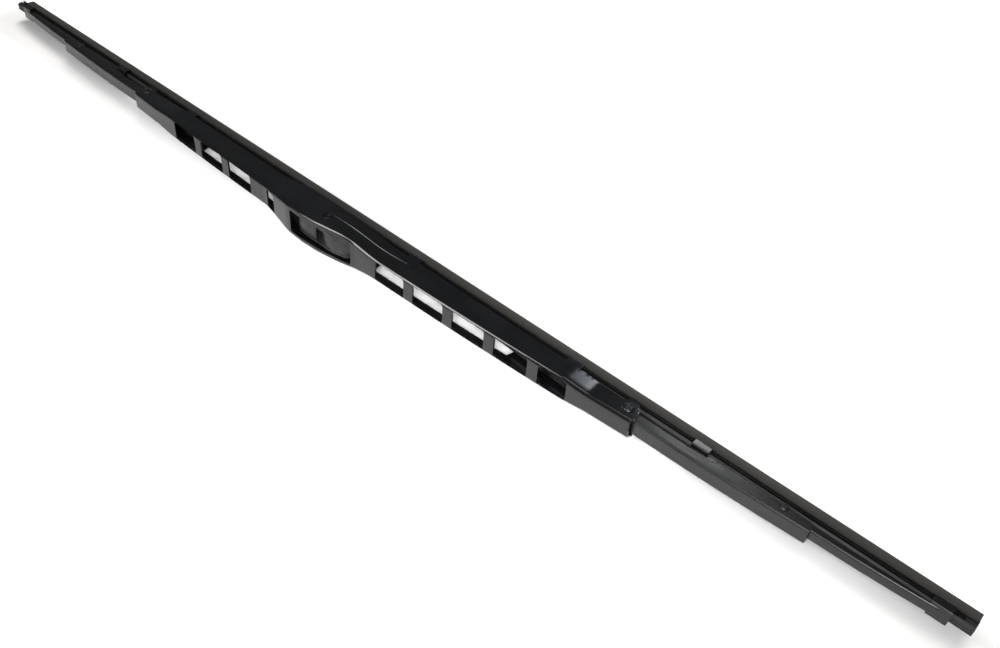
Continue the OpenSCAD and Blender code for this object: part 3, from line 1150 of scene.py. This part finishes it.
@dataclass(frozen=True)
class Rivet:
    """A rivet across the blade, with a domed and dished head outside each wall."""

    radius: float
    head_radius: float
    head_height: float
    half_width: float
    dish_share: float = 0.34
    dish_steps: tuple[Point, ...] = ((0.8, 0.02), (0.45, 0.12), (0.0, 0.14))
    rim_height: float = 0.12
    rim_ease: float = 0.08
    dome_turn: float = 80.0
    dome_steps: int = 7

    def head(self) -> Loop:
        """The profile of one head, from under its rim to the middle of the dish in its dome."""
        low, high = self.half_width, self.half_width + self.head_height
        dish = self.head_radius * self.dish_share
        rim = low + self.rim_height
        profile = [(self.radius, low), (self.head_radius - self.rim_ease, low), (self.head_radius, rim)]
        for k in range(1, self.dome_steps + 1):
            turn = math.radians(self.dome_turn * k / self.dome_steps)
            reach = dish + (self.head_radius - dish) * math.cos(turn)
            rise = (self.head_height - self.rim_height) * math.sin(turn) / math.sin(math.radians(self.dome_turn))
            profile.append((reach, rim + rise))
        return profile + [(dish * share, high - depth) for share, depth in self.dish_steps]

    def build(self, name: str, node: str, x: float, height: float, body: Body, material: bpy.types.Material) -> None:
        """Builds the rivet in place.

        Args:
            name: The piece's name.
            node: The CAD node that it stands for.
            x: Its place along the blade.
            height: Its height.
            body: The body that it rides on.
            material: Its finish.
        """
        head = self.head()
        shell = Shell()
        shell.lathe([(radius, -level) for radius, level in reversed(head)] + head, PLACE.at(x, height, 0))
        piece = shell.build(name, body, (material,))
        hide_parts(node)


@dataclass(frozen=True)
class Bush:
    """A flanged bush in one wall of a turning piece."""

    bore: float
    sleeve: float
    flange: float
    wall_level: float
    wall: float
    gap: float = 0.1
    flange_height: float = 0.3
    edge: float = 0.05
    steps: int = 32

    def build(self, node: str, x: float, height: float, up: bool, body: Body, material: bpy.types.Material) -> None:
        """Builds the bush in place.

        Args:
            node: The CAD node that it stands for.
            x: Its place along the blade.
            height: Its height.
            up: Whether it is in the upper wall.
            body: The body that it rides on.
            material: Its finish.
        """
        foot, seat = self.wall_level - self.wall, self.wall_level + self.gap
        top, edge = seat + self.flange_height, self.edge
        profile = [
            (self.bore, foot), (self.sleeve - edge, foot), (self.sleeve, foot + edge), (self.sleeve, seat),
            (self.flange - edge, seat), (self.flange, seat + edge), (self.flange, top - edge),
            (self.flange - edge, top), (self.bore, top),
        ]
        sign = 1 if up else -1
        shell = Shell()
        shell.lathe([(r, sign * z) for r, z in profile], PLACE.at(x, height, 0), self.steps)
        piece = shell.build(f"{node}_turned", body, (material,))
        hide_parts(node)


@dataclass(frozen=True)
class Lever:
    """A tilting lever: a channel with an ear at its pivot and at each yoke rivet.

    Its rounded tips are given as distances from the end and rises over the lower edge.
    """

    side: Side
    body: Body
    pivot_x: float = 149.0
    arm: float = 64.0
    reach: float = 75.0
    pivot_height: float = STACK.pivot
    rivet_height: float = STACK.yoke_rivet
    top_height: float = STACK.lever_back
    peak: float = 8.0
    outer_arc: float = 1100.0
    inner_arc: float = 1600.0
    low_height: float = STACK.yoke_low + 0.7
    high_height: float = STACK.yoke_low + 2.5
    high_reach: float = 34.5
    slope: float = 3.0
    tip: tuple[Point, ...] = ((0.0, 1.6), (0.5, 0.4), (1.6, 0.0))
    pivot_ear: float = STACK.pivot_ear
    rivet_ear: float = 1.9
    half: float = 3.6
    sheet: float = 0.8
    bend: float = 1.0
    edge_step: float = 1.0
    mesh_pitch: float = 2.5
    mesh_depth: float = 8.0

    def back(self, d: float) -> float:
        """The height of the lever's back at a distance from its pivot."""
        radius = self.outer_arc if d > self.peak else self.inner_arc
        return self.top_height - (d - self.peak) ** 2 / (2 * radius)

    def edge(self) -> Loop:
        """The lower edge of a wall, from the inner end to the outer, with its three ears."""
        line = [(d - self.reach, self.low_height + rise) for d, rise in self.tip]
        line += lug((-self.arm, self.rivet_height), self.rivet_ear, self.low_height, count=10)
        line += [(-self.high_reach - self.slope, self.low_height), (-self.high_reach, self.high_height)]
        line += lug((0, self.pivot_height), self.pivot_ear, self.high_height, count=14)
        line += [(self.high_reach, self.high_height), (self.high_reach + self.slope, self.low_height)]
        line += lug((self.arm, self.rivet_height), self.rivet_ear, self.low_height, count=10)
        return line + [(self.reach - d, self.low_height + rise) for d, rise in reversed(self.tip)]

    def build(self, finishes: Finishes, bush_radius: float, rivet_radius: float) -> None:
        """Builds the lever and dresses it.

        Args:
            finishes: The blade's finishes.
            bush_radius: The radius of its pivot hole.
            rivet_radius: The radius of its two rivet holes.
        """
        channel = Channel(
            back=lambda x: self.back(x - self.pivot_x), half=lambda x: self.half, sheet=self.sheet, bend=self.bend
        )
        edge = [(x + self.pivot_x, h) for x, h in dense_line(self.edge(), self.edge_step)]
        outer, inner = self.pivot_x + self.reach, self.pivot_x - self.reach
        outline = channel.wall_line(edge, 1) + [(outer, v) for v in OVER_THE_BACK]
        outline += channel.wall_line(edge, -1)[::-1] + [(inner, -v) for v in OVER_THE_BACK]
        holes = channel.through((self.pivot_x, self.pivot_height), bush_radius, count=24)
        for arm in (-self.arm, self.arm):
            holes += channel.through((self.pivot_x + arm, self.rivet_height), rivet_radius, count=24)
        shell = Shell()
        mirror = 0.0 if self.side is Side.LEFT else None
        Blank(channel, outline, holes, self.mesh_pitch, self.mesh_depth).fold(shell, mirror)
        word = self.side.name.lower()
        piece = shell.build(f"{word}_lever_channel", self.body, (finishes.lever, finishes.edge))
        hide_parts(f"secondary_{word}")


@dataclass(frozen=True)
class Yoke:
    """A yoke: a slim channel with a claw at each end that wraps round the strip and its rails.

    It is shaped about its rivet, with its longer end ahead, and then carried to its place.
    """

    body: Body
    node: str
    x: float
    direction: int
    reach: float
    rivet_height: float = STACK.yoke_rivet
    top_height: float = STACK.yoke_back
    arc_radius: float = 655.6
    low_height: float = STACK.yoke_low
    lug_radius: float = 1.65
    lug_drop: float = 0.1
    half: float = 2.4
    sheet: float = STACK.yoke_sheet
    bend: float = 0.85
    run_out: float = 14.0
    tip_length: float = 7.0
    tip_depth: float = 0.15
    near_claw: float = -35.0
    claw_length: float = 7.0
    claw_half: float = 3.3
    claw_bend: float = 0.75
    claw_ease: float = 0.14
    claw_top: float = STACK.rubber + 0.47
    hook_height: float = STACK.rubber - 2.585
    hook_level: float = 2.22
    edge_step: float = 1.0
    mesh_pitch: float = 2.0
    mesh_depth: float = 3.4

    @property
    def claws(self) -> Point:
        """The claws' distances from the rivet."""
        return self.near_claw, self.reach

    def back(self, d: float) -> float:
        """The height of the yoke's back at a distance from its rivet."""
        return self.top_height - d * d / (2 * self.arc_radius)

    def add_channel(self, shell: Shell, hole: float) -> None:
        """Adds the yoke's channel.

        Args:
            shell: The mesh to add to.
            hole: The radius of its two bush holes.
        """
        channel = Channel(back=self.back, half=lambda d: self.half, sheet=self.sheet, bend=self.bend)
        start, end = self.claws[0] - self.claw_length / 2, self.claws[1] + self.claw_length / 2
        ear = lug((0, self.rivet_height - self.lug_drop), self.lug_radius, self.low_height, count=12)
        line = [(start, self.low_height), *ear, (end - self.run_out, self.low_height)]
        edge = dense_line(line, self.edge_step)
        tip = [(end - self.tip_length, 2 + self.tip_depth), (end, 2.0)]
        right = tip + [(end, v) for v in OVER_THE_BACK[1:-1]] + [(d, -v) for d, v in reversed(tip)]
        left = [(start, -v) for v in OVER_THE_BACK]
        outline = channel.wall_line(edge, 1) + right + channel.wall_line(edge, -1)[::-1] + left
        holes = channel.through((0, self.rivet_height), hole, count=20)
        part = Shell()
        Blank(channel, outline, holes, self.mesh_pitch, self.mesh_depth).fold(part)
        self._carry(part, shell)

    def _carry(self, source: Shell, target: Shell) -> None:
        """Moves a shell built about the rivet into place and joins it to another.

        Args:
            source: The shell that is moved, which is used up.
            target: The shell that it joins.
        """
        turn = Matrix.Scale(self.direction, 4, Vector((1, 0, 0)))
        source.bm.transform(Matrix.Translation((self.x, 0, 0)) @ turn)
        mesh = bpy.data.meshes.new("carried")
        source.bm.to_mesh(mesh)
        source.bm.free()
        target.bm.from_mesh(mesh)
        bpy.data.meshes.remove(mesh)

    def claw_outline(self) -> Loop:
        """The claw's cross-section, as levels and heights, with its bends rounded."""
        t = self.sheet / 2
        outer, inner = self.claw_half + t, self.claw_half - t
        corners = [
            (-self.hook_level, self.hook_height - t), (-outer, self.hook_height - t),
            (-outer, self.claw_top + t), (outer, self.claw_top + t), (outer, self.hook_height - t),
            (self.hook_level, self.hook_height - t), (self.hook_level, self.hook_height + t),
            (inner, self.hook_height + t), (inner, self.claw_top - t), (-inner, self.claw_top - t),
            (-inner, self.hook_height + t), (-self.hook_level, self.hook_height + t),
        ]
        return rounded(corners, self.claw_bend, count=5)

    def build(self, finishes: Finishes, hole: float) -> None:
        """Builds the yoke and dresses it.

        Args:
            finishes: The blade's finishes.
            hole: The radius of its two bush holes.
        """
        shell = Shell()
        self.add_channel(shell, hole)
        for claw in self.claws:
            part = Shell()
            ends = (claw - self.claw_length / 2, claw + self.claw_length / 2)
            part.prism(self.claw_outline(), ends, section_point, self.claw_ease)
            self._carry(part, shell)
        piece = shell.build(f"{self.node}_channel", self.body, (finishes.yoke, finishes.edge))
        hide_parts(self.node)


@dataclass(frozen=True)
class ArmFastening:
    """The arm pin and the moulded adapter that turns on it in the hump's slot.

    The corners of the cheek plates and of the pads are given as distances from the near end and drops from the
    top, or rises from the bottom.
    """

    pin_x: float = -8.0
    pin_height: float = STACK.arm_pin
    pin_radius: float = 2.0
    pin_half: float = 8.4
    pin_skin: float = 0.01
    pin_chamfer: float = 0.25
    pin_dimple: tuple[Point, ...] = ((0.5, 0.0), (0.4, 0.2), (0.0, 0.3))
    pin_gap: float = 0.05
    barrel_radius: float = 3.1
    hook_room: float = 2.6
    hook_gap: float = 5.6
    half: float = 4.7
    boss_half: float = 7.3
    plate: float = 1.0
    plate_corner: float = 1.2
    plate_ease: float = 0.15
    ends: Point = (-23.9, 8.4)
    top_height: float = STACK.top - 2.2
    low_height: float = STACK.arm_pin - 2.8
    heel: tuple[Point, ...] = ((0.0, 2.6), (1.8, 0.5), (6.5, 0.0))
    nose: tuple[Point, ...] = ((9.0, 0.0), (2.4, 1.6), (0.0, 4.2))
    toe: tuple[Point, ...] = ((1.8, 1.0), (5.0, 0.0))
    foot: tuple[Point, ...] = ((3.0, 0.0), (0.0, 2.0))
    pad_heel: tuple[Point, ...] = ((0.0, 2.6), (1.8, 0.2), (6.5, -0.4))
    pad_nose: tuple[Point, ...] = ((8.0, -0.4), (2.4, 1.3), (0.0, 4.2))
    pad_lip: tuple[Point, ...] = ((0.8, -0.2), (0.0, 0.4))
    pad_depth: float = 3.4
    pad_least: float = 0.25
    pad_bend: float = 0.7
    pad_steps: int = 22
    pad_overlap: float = 0.05
    pad_ease: float = 0.18
    crown: float = 0.5
    crown_power: float = 2.6
    crown_steps: int = 6

    def build_pin(self, finishes: Finishes) -> None:
        """Builds the steel pin, with a chamfer and a dimple at each end.

        Args:
            finishes: The blade's finishes.
        """
        radius, half = self.pin_radius - self.pin_skin, self.pin_half
        end = [(radius, half - self.pin_chamfer), (radius - self.pin_chamfer, half)]
        end += [(radius * share, half - depth) for share, depth in self.pin_dimple]
        shell = Shell()
        shell.lathe([(r, -z) for r, z in reversed(end)] + end, PLACE.at(self.pin_x, self.pin_height, 0))
        piece = shell.build("arm_pin_turned", Body.BRIDGE, (finishes.pin,))
        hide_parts("arm_pin")

    def plate_outline(self) -> Loop:
        """The side view of a cheek plate."""
        left, right = self.ends
        corners = [(left + d, self.top_height - drop) for d, drop in self.heel]
        corners += [(right - d, self.top_height - drop) for d, drop in self.nose]
        corners += [(right - d, self.low_height + rise) for d, rise in self.toe]
        corners += [(left + d, self.low_height + rise) for d, rise in self.foot]
        return rounded(corners, self.plate_corner)

    def pad_lines(self) -> list[tuple[Loop, Loop]]:
        """The upper and lower line of each pad's side view, from left to right."""
        left, right = self.ends
        top, floor = self.top_height, self.top_height - self.pad_depth
        gap = (self.pin_x - self.hook_gap / 2, self.pin_x + self.hook_gap / 2)
        heel = [(left + d, top - drop) for d, drop in self.pad_heel]
        heel += [(gap[0] - d, top - drop) for d, drop in self.pad_lip]
        nose = [(gap[1] + d, top - drop) for d, drop in reversed(self.pad_lip)]
        nose += [(right - d, top - drop) for d, drop in self.pad_nose]
        pads = []
        for upper in (heel, nose):
            line = BentLine(tuple(upper), self.pad_bend)
            xs = np.linspace(upper[0][0], upper[-1][0], self.pad_steps)
            above = [(float(x), line(float(x))) for x in xs]
            below = []
            for x, height in above:
                reach = (self.barrel_radius + self.hook_room) ** 2 - (x - self.pin_x) ** 2
                room = self.pin_height + math.sqrt(reach) if reach > 0 else 0.0
                below.append((x, min(height - self.pad_least, max(floor, room))))
            pads.append((above, below))
        return pads

    def add_pad(self, shell: Shell, above: Loop, below: Loop) -> None:
        """Adds one pad with a crowned top.

        Args:
            shell: The mesh to add to.
            above: The top's line.
            below: The underside's line.
        """
        half = self.half - self.plate + self.pad_overlap
        levels = [half * k / self.crown_steps for k in range(-self.crown_steps, self.crown_steps + 1)]
        rows = []
        for (x, high), (_, low) in zip(above, below):
            top = [PLACE.at(x, high - self.crown * abs(z / half) ** self.crown_power, z) for z in levels]
            bottom = [PLACE.at(x, low, z) for z in reversed(levels)]
            rows.append([shell.bm.verts.new(p) for p in top + bottom])
        count = len(rows[0])
        for first, second in zip(rows, rows[1:]):
            for i in range(count):
                j = (i + 1) % count
                shell.bm.faces.new((first[i], first[j], second[j], second[i]))
        caps = [shell.bm.faces.new(rows[0][::-1]), shell.bm.faces.new(rows[-1])]
        shell.bevel([e for cap in caps for e in cap.edges], self.pad_ease)

    def build_adapter(self, finishes: Finishes) -> None:
        """Builds the adapter: two cheek plates, a barrel between them and two pads over it.

        Args:
            finishes: The blade's finishes.
        """
        shell = Shell()
        for sign in (-1, 1):
            levels = (sign * self.half, sign * (self.half - self.plate))
            shell.prism(self.plate_outline(), levels, PLACE.at, self.plate_ease)
        for above, below in self.pad_lines():
            self.add_pad(shell, above, below)
        reach, bore = self.boss_half, self.pin_radius + self.pin_gap
        barrel = [(bore, -reach), (self.barrel_radius, -reach), (self.barrel_radius, reach), (bore, reach)]
        shell.lathe(barrel, PLACE.at(self.pin_x, self.pin_height, 0), count=48)
        piece = shell.build("arm_adapter_moulding", Body.ADAPTER, (finishes.adapter,))
        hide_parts("arm_adapter")


@dataclass(frozen=True)
class Stretch:
    """One stretch of the strip: its ends, and the bodies and places given for its bend."""

    start: float
    end: float
    first: Body
    second: Body
    bend: Point


@dataclass(frozen=True)
class WipingStrip:
    """The rubber strip and its two rails, cut into stretches, one over each joint.

    The steps of the rubber's section under the rails are given as drops from its neck.
    """

    half_length: float = 280.0
    rail_half_length: float = 276.0
    crown_half: float = 1.5
    bead_half: float = 2.1
    web_half: float = 0.9
    neck_half: float = 0.5
    shoulder_half: float = 2.3
    root_half: float = 0.55
    lip_half: float = 0.35
    crown_height: float = STACK.rubber
    crown_foot: float = 0.35
    bead_depth: float = 0.6
    neck_drop: float = 0.7
    shoulder_drop: float = 1.3
    root_drop: float = 2.6
    corner: float = 0.12
    rail_top: float = STACK.rail_top
    rail_thick: float = 0.8
    rail_width: float = 1.9
    rail_gap: float = 0.03
    rail_corner: float = 0.2
    bend_height: float = 5.0
    plug: Point = (276.4, 279.8)
    plug_overlap: Point = (0.3, 0.25)
    plug_corner: float = 0.15
    mesh_pitch: float = 2.5

    def stretches(self) -> list[Stretch]:
        """The stretches from the left end to the right, each over one joint."""
        right = [
            Stretch(0, 21, Body.BRIDGE, Body.RIGHT_LEVER, (0.5, 20.5)),
            Stretch(21, 60, Body.RIGHT_LEVER, Body.RIGHT_INNER_YOKE, (21.5, 31)),
            Stretch(60, 149, Body.RIGHT_INNER_YOKE, Body.RIGHT_LEVER, (124, 146)),
            Stretch(149, self.half_length, Body.RIGHT_LEVER, Body.RIGHT_OUTER_YOKE, (152, 174)),
        ]
        swap = {
            Body.BRIDGE: Body.BRIDGE,
            Body.RIGHT_LEVER: Body.LEFT_LEVER,
            Body.RIGHT_INNER_YOKE: Body.LEFT_INNER_YOKE,
            Body.RIGHT_OUTER_YOKE: Body.LEFT_OUTER_YOKE,
        }
        left = [
            Stretch(-s.end, -s.start, swap[s.second], swap[s.first], (-s.bend[1], -s.bend[0]))
            for s in reversed(right)
        ]
        return left + right

    def rubber_outline(self) -> Loop:
        """The strip's cross-section, as levels and heights, with its corners eased."""
        low = self.rail_top - self.rail_thick
        neck = low - self.bead_depth
        groove = (low - self.rail_gap, self.rail_top + self.rail_gap)
        half = [
            (self.lip_half, 0.0), (self.root_half, neck - self.root_drop),
            (self.shoulder_half, neck - self.shoulder_drop), (self.shoulder_half, neck - self.neck_drop),
            (self.neck_half, neck - self.neck_drop), (self.neck_half, neck),
            (self.bead_half, neck), (self.bead_half, groove[0]), (self.web_half, groove[0]),
            (self.web_half, groove[1]), (self.bead_half, groove[1]),
            (self.bead_half, self.rail_top + self.crown_foot), (self.crown_half, self.crown_height),
        ]
        return rounded(half + [(-z, h) for z, h in reversed(half)], self.corner, count=3)

    def plug_outline(self) -> Loop:
        """The cross-section of the rubber that closes the rail grooves at both ends of the strip."""
        low = self.rail_top - self.rail_thick - self.plug_overlap[0]
        high = self.rail_top + self.plug_overlap[1]
        half = self.bead_half
        return rounded([(-half, low), (half, low), (half, high), (-half, high)], self.plug_corner, count=3)

    def rail_outline(self, sign: int) -> Loop:
        """The cross-section of one rail, as levels and heights.

        Args:
            sign: 1 for the upper rail and -1 for the lower.

        Returns:
            The rail's closed outline.
        """
        near = sign * (self.web_half + self.rail_gap)
        far = near + sign * self.rail_width
        low = self.rail_top - self.rail_thick
        return rounded([(near, low), (far, low), (far, self.rail_top), (near, self.rail_top)], self.rail_corner)

    def run(
        self, name: str, node: str, slot: str, outline: Loop, half_length: float, material: bpy.types.Material
    ) -> None:
        """Builds one extrusion, stretch by stretch.

        Args:
            name: The pieces' first name.
            node: The CAD node that they stand for.
            slot: The record's material slot; not used.
            outline: The cross-section.
            half_length: Half of the extrusion's length.
            material: Its finish.
        """
        for number, stretch in enumerate(self.stretches(), 1):
            start, end = max(stretch.start, -half_length), min(stretch.end, half_length)
            count = math.ceil((end - start) / self.mesh_pitch)
            stations = [start + (end - start) * i / count for i in range(count + 1)]
            shell = Shell()
            shell.prism(outline, stations, section_point)
            if self.half_length in (-start, end):
                side = 1 if end > 0 else -1
                shell.prism(self.plug_outline(), [side * x for x in self.plug[::side]], section_point)
            piece = shell.build(f"{name}_{number}", None, (material,))
            places = [PLACE.at(x, self.bend_height, 0) * MM for x in stretch.bend]
            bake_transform(piece)
            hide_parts(node)

    def build(self, finishes: Finishes) -> None:
        """Builds the rubber strip and both rails.

        Args:
            finishes: The blade's finishes.
        """
        self.run(
            "rubber_strip", "squeegee", "wiping_rubber", self.rubber_outline(), self.half_length, finishes.rubber
        )
        for sign, word in ((1, "upper"), (-1, "lower")):
            self.run(
                f"rail_{word}_stretch", f"rail_{word}", "rail_steel",
                self.rail_outline(sign), self.rail_half_length, finishes.rail,
            )


@dataclass(frozen=True)
class Lamp:
    """A soft rectangular lamp.

    Its place and target are in millimetres, its size in metres, its power in watts and its spread in degrees. It
    can be kept out of what glossy surfaces mirror.
    """

    name: str
    place: Triple
    target: Triple
    size: Point
    power: float
    tint: Triple
    spread: float = 180.0
    in_gloss: bool = True

    def hang(self) -> None:
        """Hangs the lamp so that it shines at its target."""
        data = bpy.data.lights.new(self.name, "AREA")
        data.shape = "RECTANGLE"
        data.size, data.size_y = self.size
        data.energy = self.power
        data.color = self.tint
        data.spread = math.radians(self.spread)
        lamp = bpy.data.objects.new(self.name, data)
        lamp.visible_glossy = self.in_gloss
        turn = (Vector(self.place) - Vector(self.target)).to_track_quat("Z", "Y").to_matrix().to_4x4()
        lamp.matrix_world = Matrix.Translation(Vector(self.place) * MM) @ turn
        bpy.context.scene.collection.objects.link(lamp)


@dataclass(frozen=True)
class Studio:
    """The paper that the blade lies on, the lamps and the camera.

    The paper's own glow, seen by the camera alone, grows over spans of the distance from the blade's middle, which
    are in metres. It is painted light: held back beside the blade short of its ends, it leaves a painted shade
    there, and over the middle of the blade it lays a painted pool of light on the paper seen through the bridge's
    windows.
    """

    camera_at: Triple = (262.57, 238.85, 273.37)
    right: Triple = (0.7463, 0.6623, 0.0661)
    up: Triple = (-0.4913, 0.4811, 0.7261)
    lens: float = 36.0
    sensor: float = 36.0
    clip: Point = (0.01, 20.0)
    room_light: float = 0.12
    room_tint: Triple = (0.95, 0.97, 1.0)
    far_glow: float = 0.6
    rim_glow: float = 0.94
    painted_light_under_bridge: float = 0.2
    painted_shade_across: Point = (0.010, 0.034)
    painted_shade_along: Point = (0.29, 0.34)
    glow_to_rim: Point = (0.12, 0.5)
    painted_light_span: Point = (0.11, 0.19)
    paper_half: float = 6.0
    paper_colour: Triple = (0.8, 0.8, 0.8)
    paper_tooth: float = 0.02

    def build_camera(self) -> None:
        """Sets the camera where the photograph was taken from."""
        data = bpy.data.cameras.new("photo_camera")
        data.lens = self.lens
        data.sensor_width = self.sensor
        data.clip_start, data.clip_end = self.clip
        camera = bpy.data.objects.new("photo_camera", data)
        right, up = Vector(self.right).normalized(), Vector(self.up).normalized()
        back = right.cross(up)
        turn = Matrix((right, up, back)).transposed().to_4x4()
        camera.matrix_world = Matrix.Translation(PLACE.at(*self.camera_at) * MM) @ turn
        bpy.context.scene.collection.objects.link(camera)
        bpy.context.scene.camera = camera

    def build_floor(self) -> None:
        """Lays the white paper, with a painted glow that leaves painted shade beside the blade and a painted pool of
        light under its middle.
        """
        half = self.paper_half
        mesh = bpy.data.meshes.new("paper")
        corners = [(-half, -half, 0), (half, -half, 0), (half, half, 0), (-half, half, 0)]
        mesh.from_pydata(corners, [], [(0, 1, 2, 3)])
        floor = bpy.data.objects.new("paper", mesh)
        bpy.context.scene.collection.objects.link(floor)
        bench = Bench("white_paper")
        bench.set(Base_Color=(*self.paper_colour, 1), Roughness=0.9)
        bench.bump((bench.grain(1.5, detail=4.0), self.paper_tooth))
        axes = bench.add("ShaderNodeSeparateXYZ", Vector=bench.places)
        along, across = (bench.math("ABSOLUTE", axes.out(name)) for name in ("X", "Y"))
        # No glow close beside the blade short of its ends: painted shade on the paper there, under the lamps' own
        # shadows.
        beside, beyond = bench.ramp(across, *self.painted_shade_across), bench.ramp(along, *self.painted_shade_along)
        # Painted light: a pool of glow over the middle of the blade, which lights the paper seen through the
        # bridge's windows.
        middle = bench.ramp(along, *self.painted_light_span, (self.painted_light_under_bridge, 0.0))
        distance = bench.math("MAXIMUM", along, across)
        reach = bench.ramp(distance, *self.glow_to_rim, (self.far_glow, self.rim_glow))
        glow = bench.math("MULTIPLY", bench.math("MAXIMUM", beside, beyond), reach)
        glow = bench.math("MAXIMUM", glow, middle)
        seen = bench.add("ShaderNodeLightPath").out("Is Camera Ray")
        bench.set(Emission_Color=(1, 1, 1, 1))
        bench.feed("Emission Strength", bench.math("MULTIPLY", glow, seen))
        mesh.materials.append(bench.material)

    def build_world(self) -> None:
        """Fills the room with a dim even light that the camera sees as white."""
        world = bpy.data.worlds.new("room")
        bpy.context.scene.world = world
        world.use_nodes = True
        tree = world.node_tree
        background = tree.nodes["Background"]
        background.inputs["Color"].default_value = (*self.room_tint, 1)
        rays = tree.nodes.new("ShaderNodeLightPath")
        strength = tree.nodes.new("ShaderNodeMapRange")
        tree.links.new(rays.outputs["Is Camera Ray"], strength.inputs["Value"])
        strength.inputs["To Min"].default_value = self.room_light
        strength.inputs["To Max"].default_value = 1.0
        tree.links.new(strength.outputs[0], background.inputs["Strength"])

    def build(self) -> None:
        """Builds the whole studio."""
        self.build_camera()
        self.build_floor()
        self.build_world()
        warm, plain, cool = (1.0, 0.98, 0.95), (1.0, 1.0, 1.0), (0.86, 0.94, 1.0)
        for lamp in (
            Lamp("front_lamp", (240, -520, 560), (60, -5, 0), (0.30, 0.30), 0.10, plain, spread=55),
            Lamp("near_lamp", (300, -300, 330), (70, -5, 0), (0.20, 0.20), 0.43, plain, spread=64),
            Lamp("corner_lamp", (-315, -530, 440), (60, 0, 0), (0.22, 0.70), 0.95, plain, spread=80),
            Lamp("far_pane", (-150, 812, 989), (150, 0, 0), (0.08, 0.16), 0.20, cool),
            Lamp("bright_pane", (64, 305, 388), (150, 0, 10), (0.04, 0.08), 0.10, plain),
            Lamp("top_lamp", (60, -60, 900), (40, 0, 0), (0.35, 0.35), 1.1, warm),
            Lamp("left_lamp", (-275, 130, 330), (-270, -10, 0), (0.20, 0.20), 0.20, warm, 75, in_gloss=False),
            Lamp("right_lamp", (285, 130, 340), (275, -10, 0), (0.20, 0.20), 0.13, warm, 75, in_gloss=False),
        ):
            lamp.hang()
        bpy.context.scene.view_settings.view_transform = "Standard"


@dataclass(frozen=True)
class Blade:
    """The whole blade: which piece goes where."""

    pivot_x: float = 149.0
    inner_x: float = 85.0
    outer_x: float = 213.0
    pivot_height: float = STACK.pivot
    rivet_height: float = STACK.yoke_rivet
    pivot_hole: float = 1.95
    yoke_hole: float = 1.15
    yoke_reach: Point = (56.0, 51.0)
    pivot_rivet: Rivet = Rivet(radius=1.5, head_radius=2.3, head_height=0.9, half_width=4.9)
    yoke_rivet: Rivet = Rivet(radius=STACK.yoke_pin_radius, head_radius=1.7, head_height=0.7, half_width=3.6)
    pivot_bush: Bush = Bush(bore=1.5, sleeve=1.9, flange=2.9, wall_level=3.6, wall=0.8)
    yoke_bush: Bush = Bush(bore=STACK.yoke_pin_radius, sleeve=1.1, flange=1.5, wall_level=2.4, wall=0.7)

    def build_side(self, side: Side, finishes: Finishes) -> None:
        """Builds one end: its lever, its two yokes, and their rivets and bushes.

        Args:
            side: Which end.
            finishes: The blade's finishes.
        """
        word, sign = side.name.lower(), side.value
        lever_body = Body(f"{word}_lever")
        Lever(side, lever_body).build(finishes, self.pivot_hole, STACK.yoke_pin_radius)
        place = (sign * self.pivot_x, self.pivot_height)
        self.pivot_rivet.build(
            f"{word}_pivot_rivet_head", f"pivot_rivet_{word}", *place, Body.BRIDGE, finishes.rivet
        )
        for level, up in (("upper", True), ("lower", False)):
            self.pivot_bush.build(f"pivot_bush_{word}_{level}", *place, up, Body.BRIDGE, finishes.bush)
        for where, x, direction, reach in (
            ("outer", self.outer_x, sign, self.yoke_reach[0]),
            ("inner", self.inner_x, -sign, self.yoke_reach[1]),
        ):
            yoke = f"yoke_{word}_{where}"
            place = (sign * x, self.rivet_height)
            Yoke(Body(f"{word}_{where}_yoke"), yoke, sign * x, direction, reach).build(finishes, self.yoke_hole)
            self.yoke_rivet.build(
                f"{word}_{where}_yoke_rivet_head", f"yoke_rivet_{word}_{where}", *place, lever_body, finishes.rivet
            )
            for level, up in (("upper", True), ("lower", False)):
                self.yoke_bush.build(
                    f"yoke_bush_{word}_{where}_{level}", *place, up, lever_body, finishes.bush
                )

    def build(self, finishes: Finishes) -> None:
        """Builds every piece of the blade.

        Args:
            finishes: The blade's finishes.
        """
        Bridge().build(finishes)
        for side in Side:
            self.build_side(side, finishes)
        fastening = ArmFastening()
        fastening.build_pin(finishes)
        fastening.build_adapter(finishes)
        WipingStrip().build(finishes)


def main() -> None:
    """Builds the blade and its studio."""
    logging.basicConfig(level=logging.INFO, format="%(name)s: %(message)s")
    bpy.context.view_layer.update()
    Blade().build(Finishes.make())
    Studio().build()


if __name__ == "__main__":
    main()
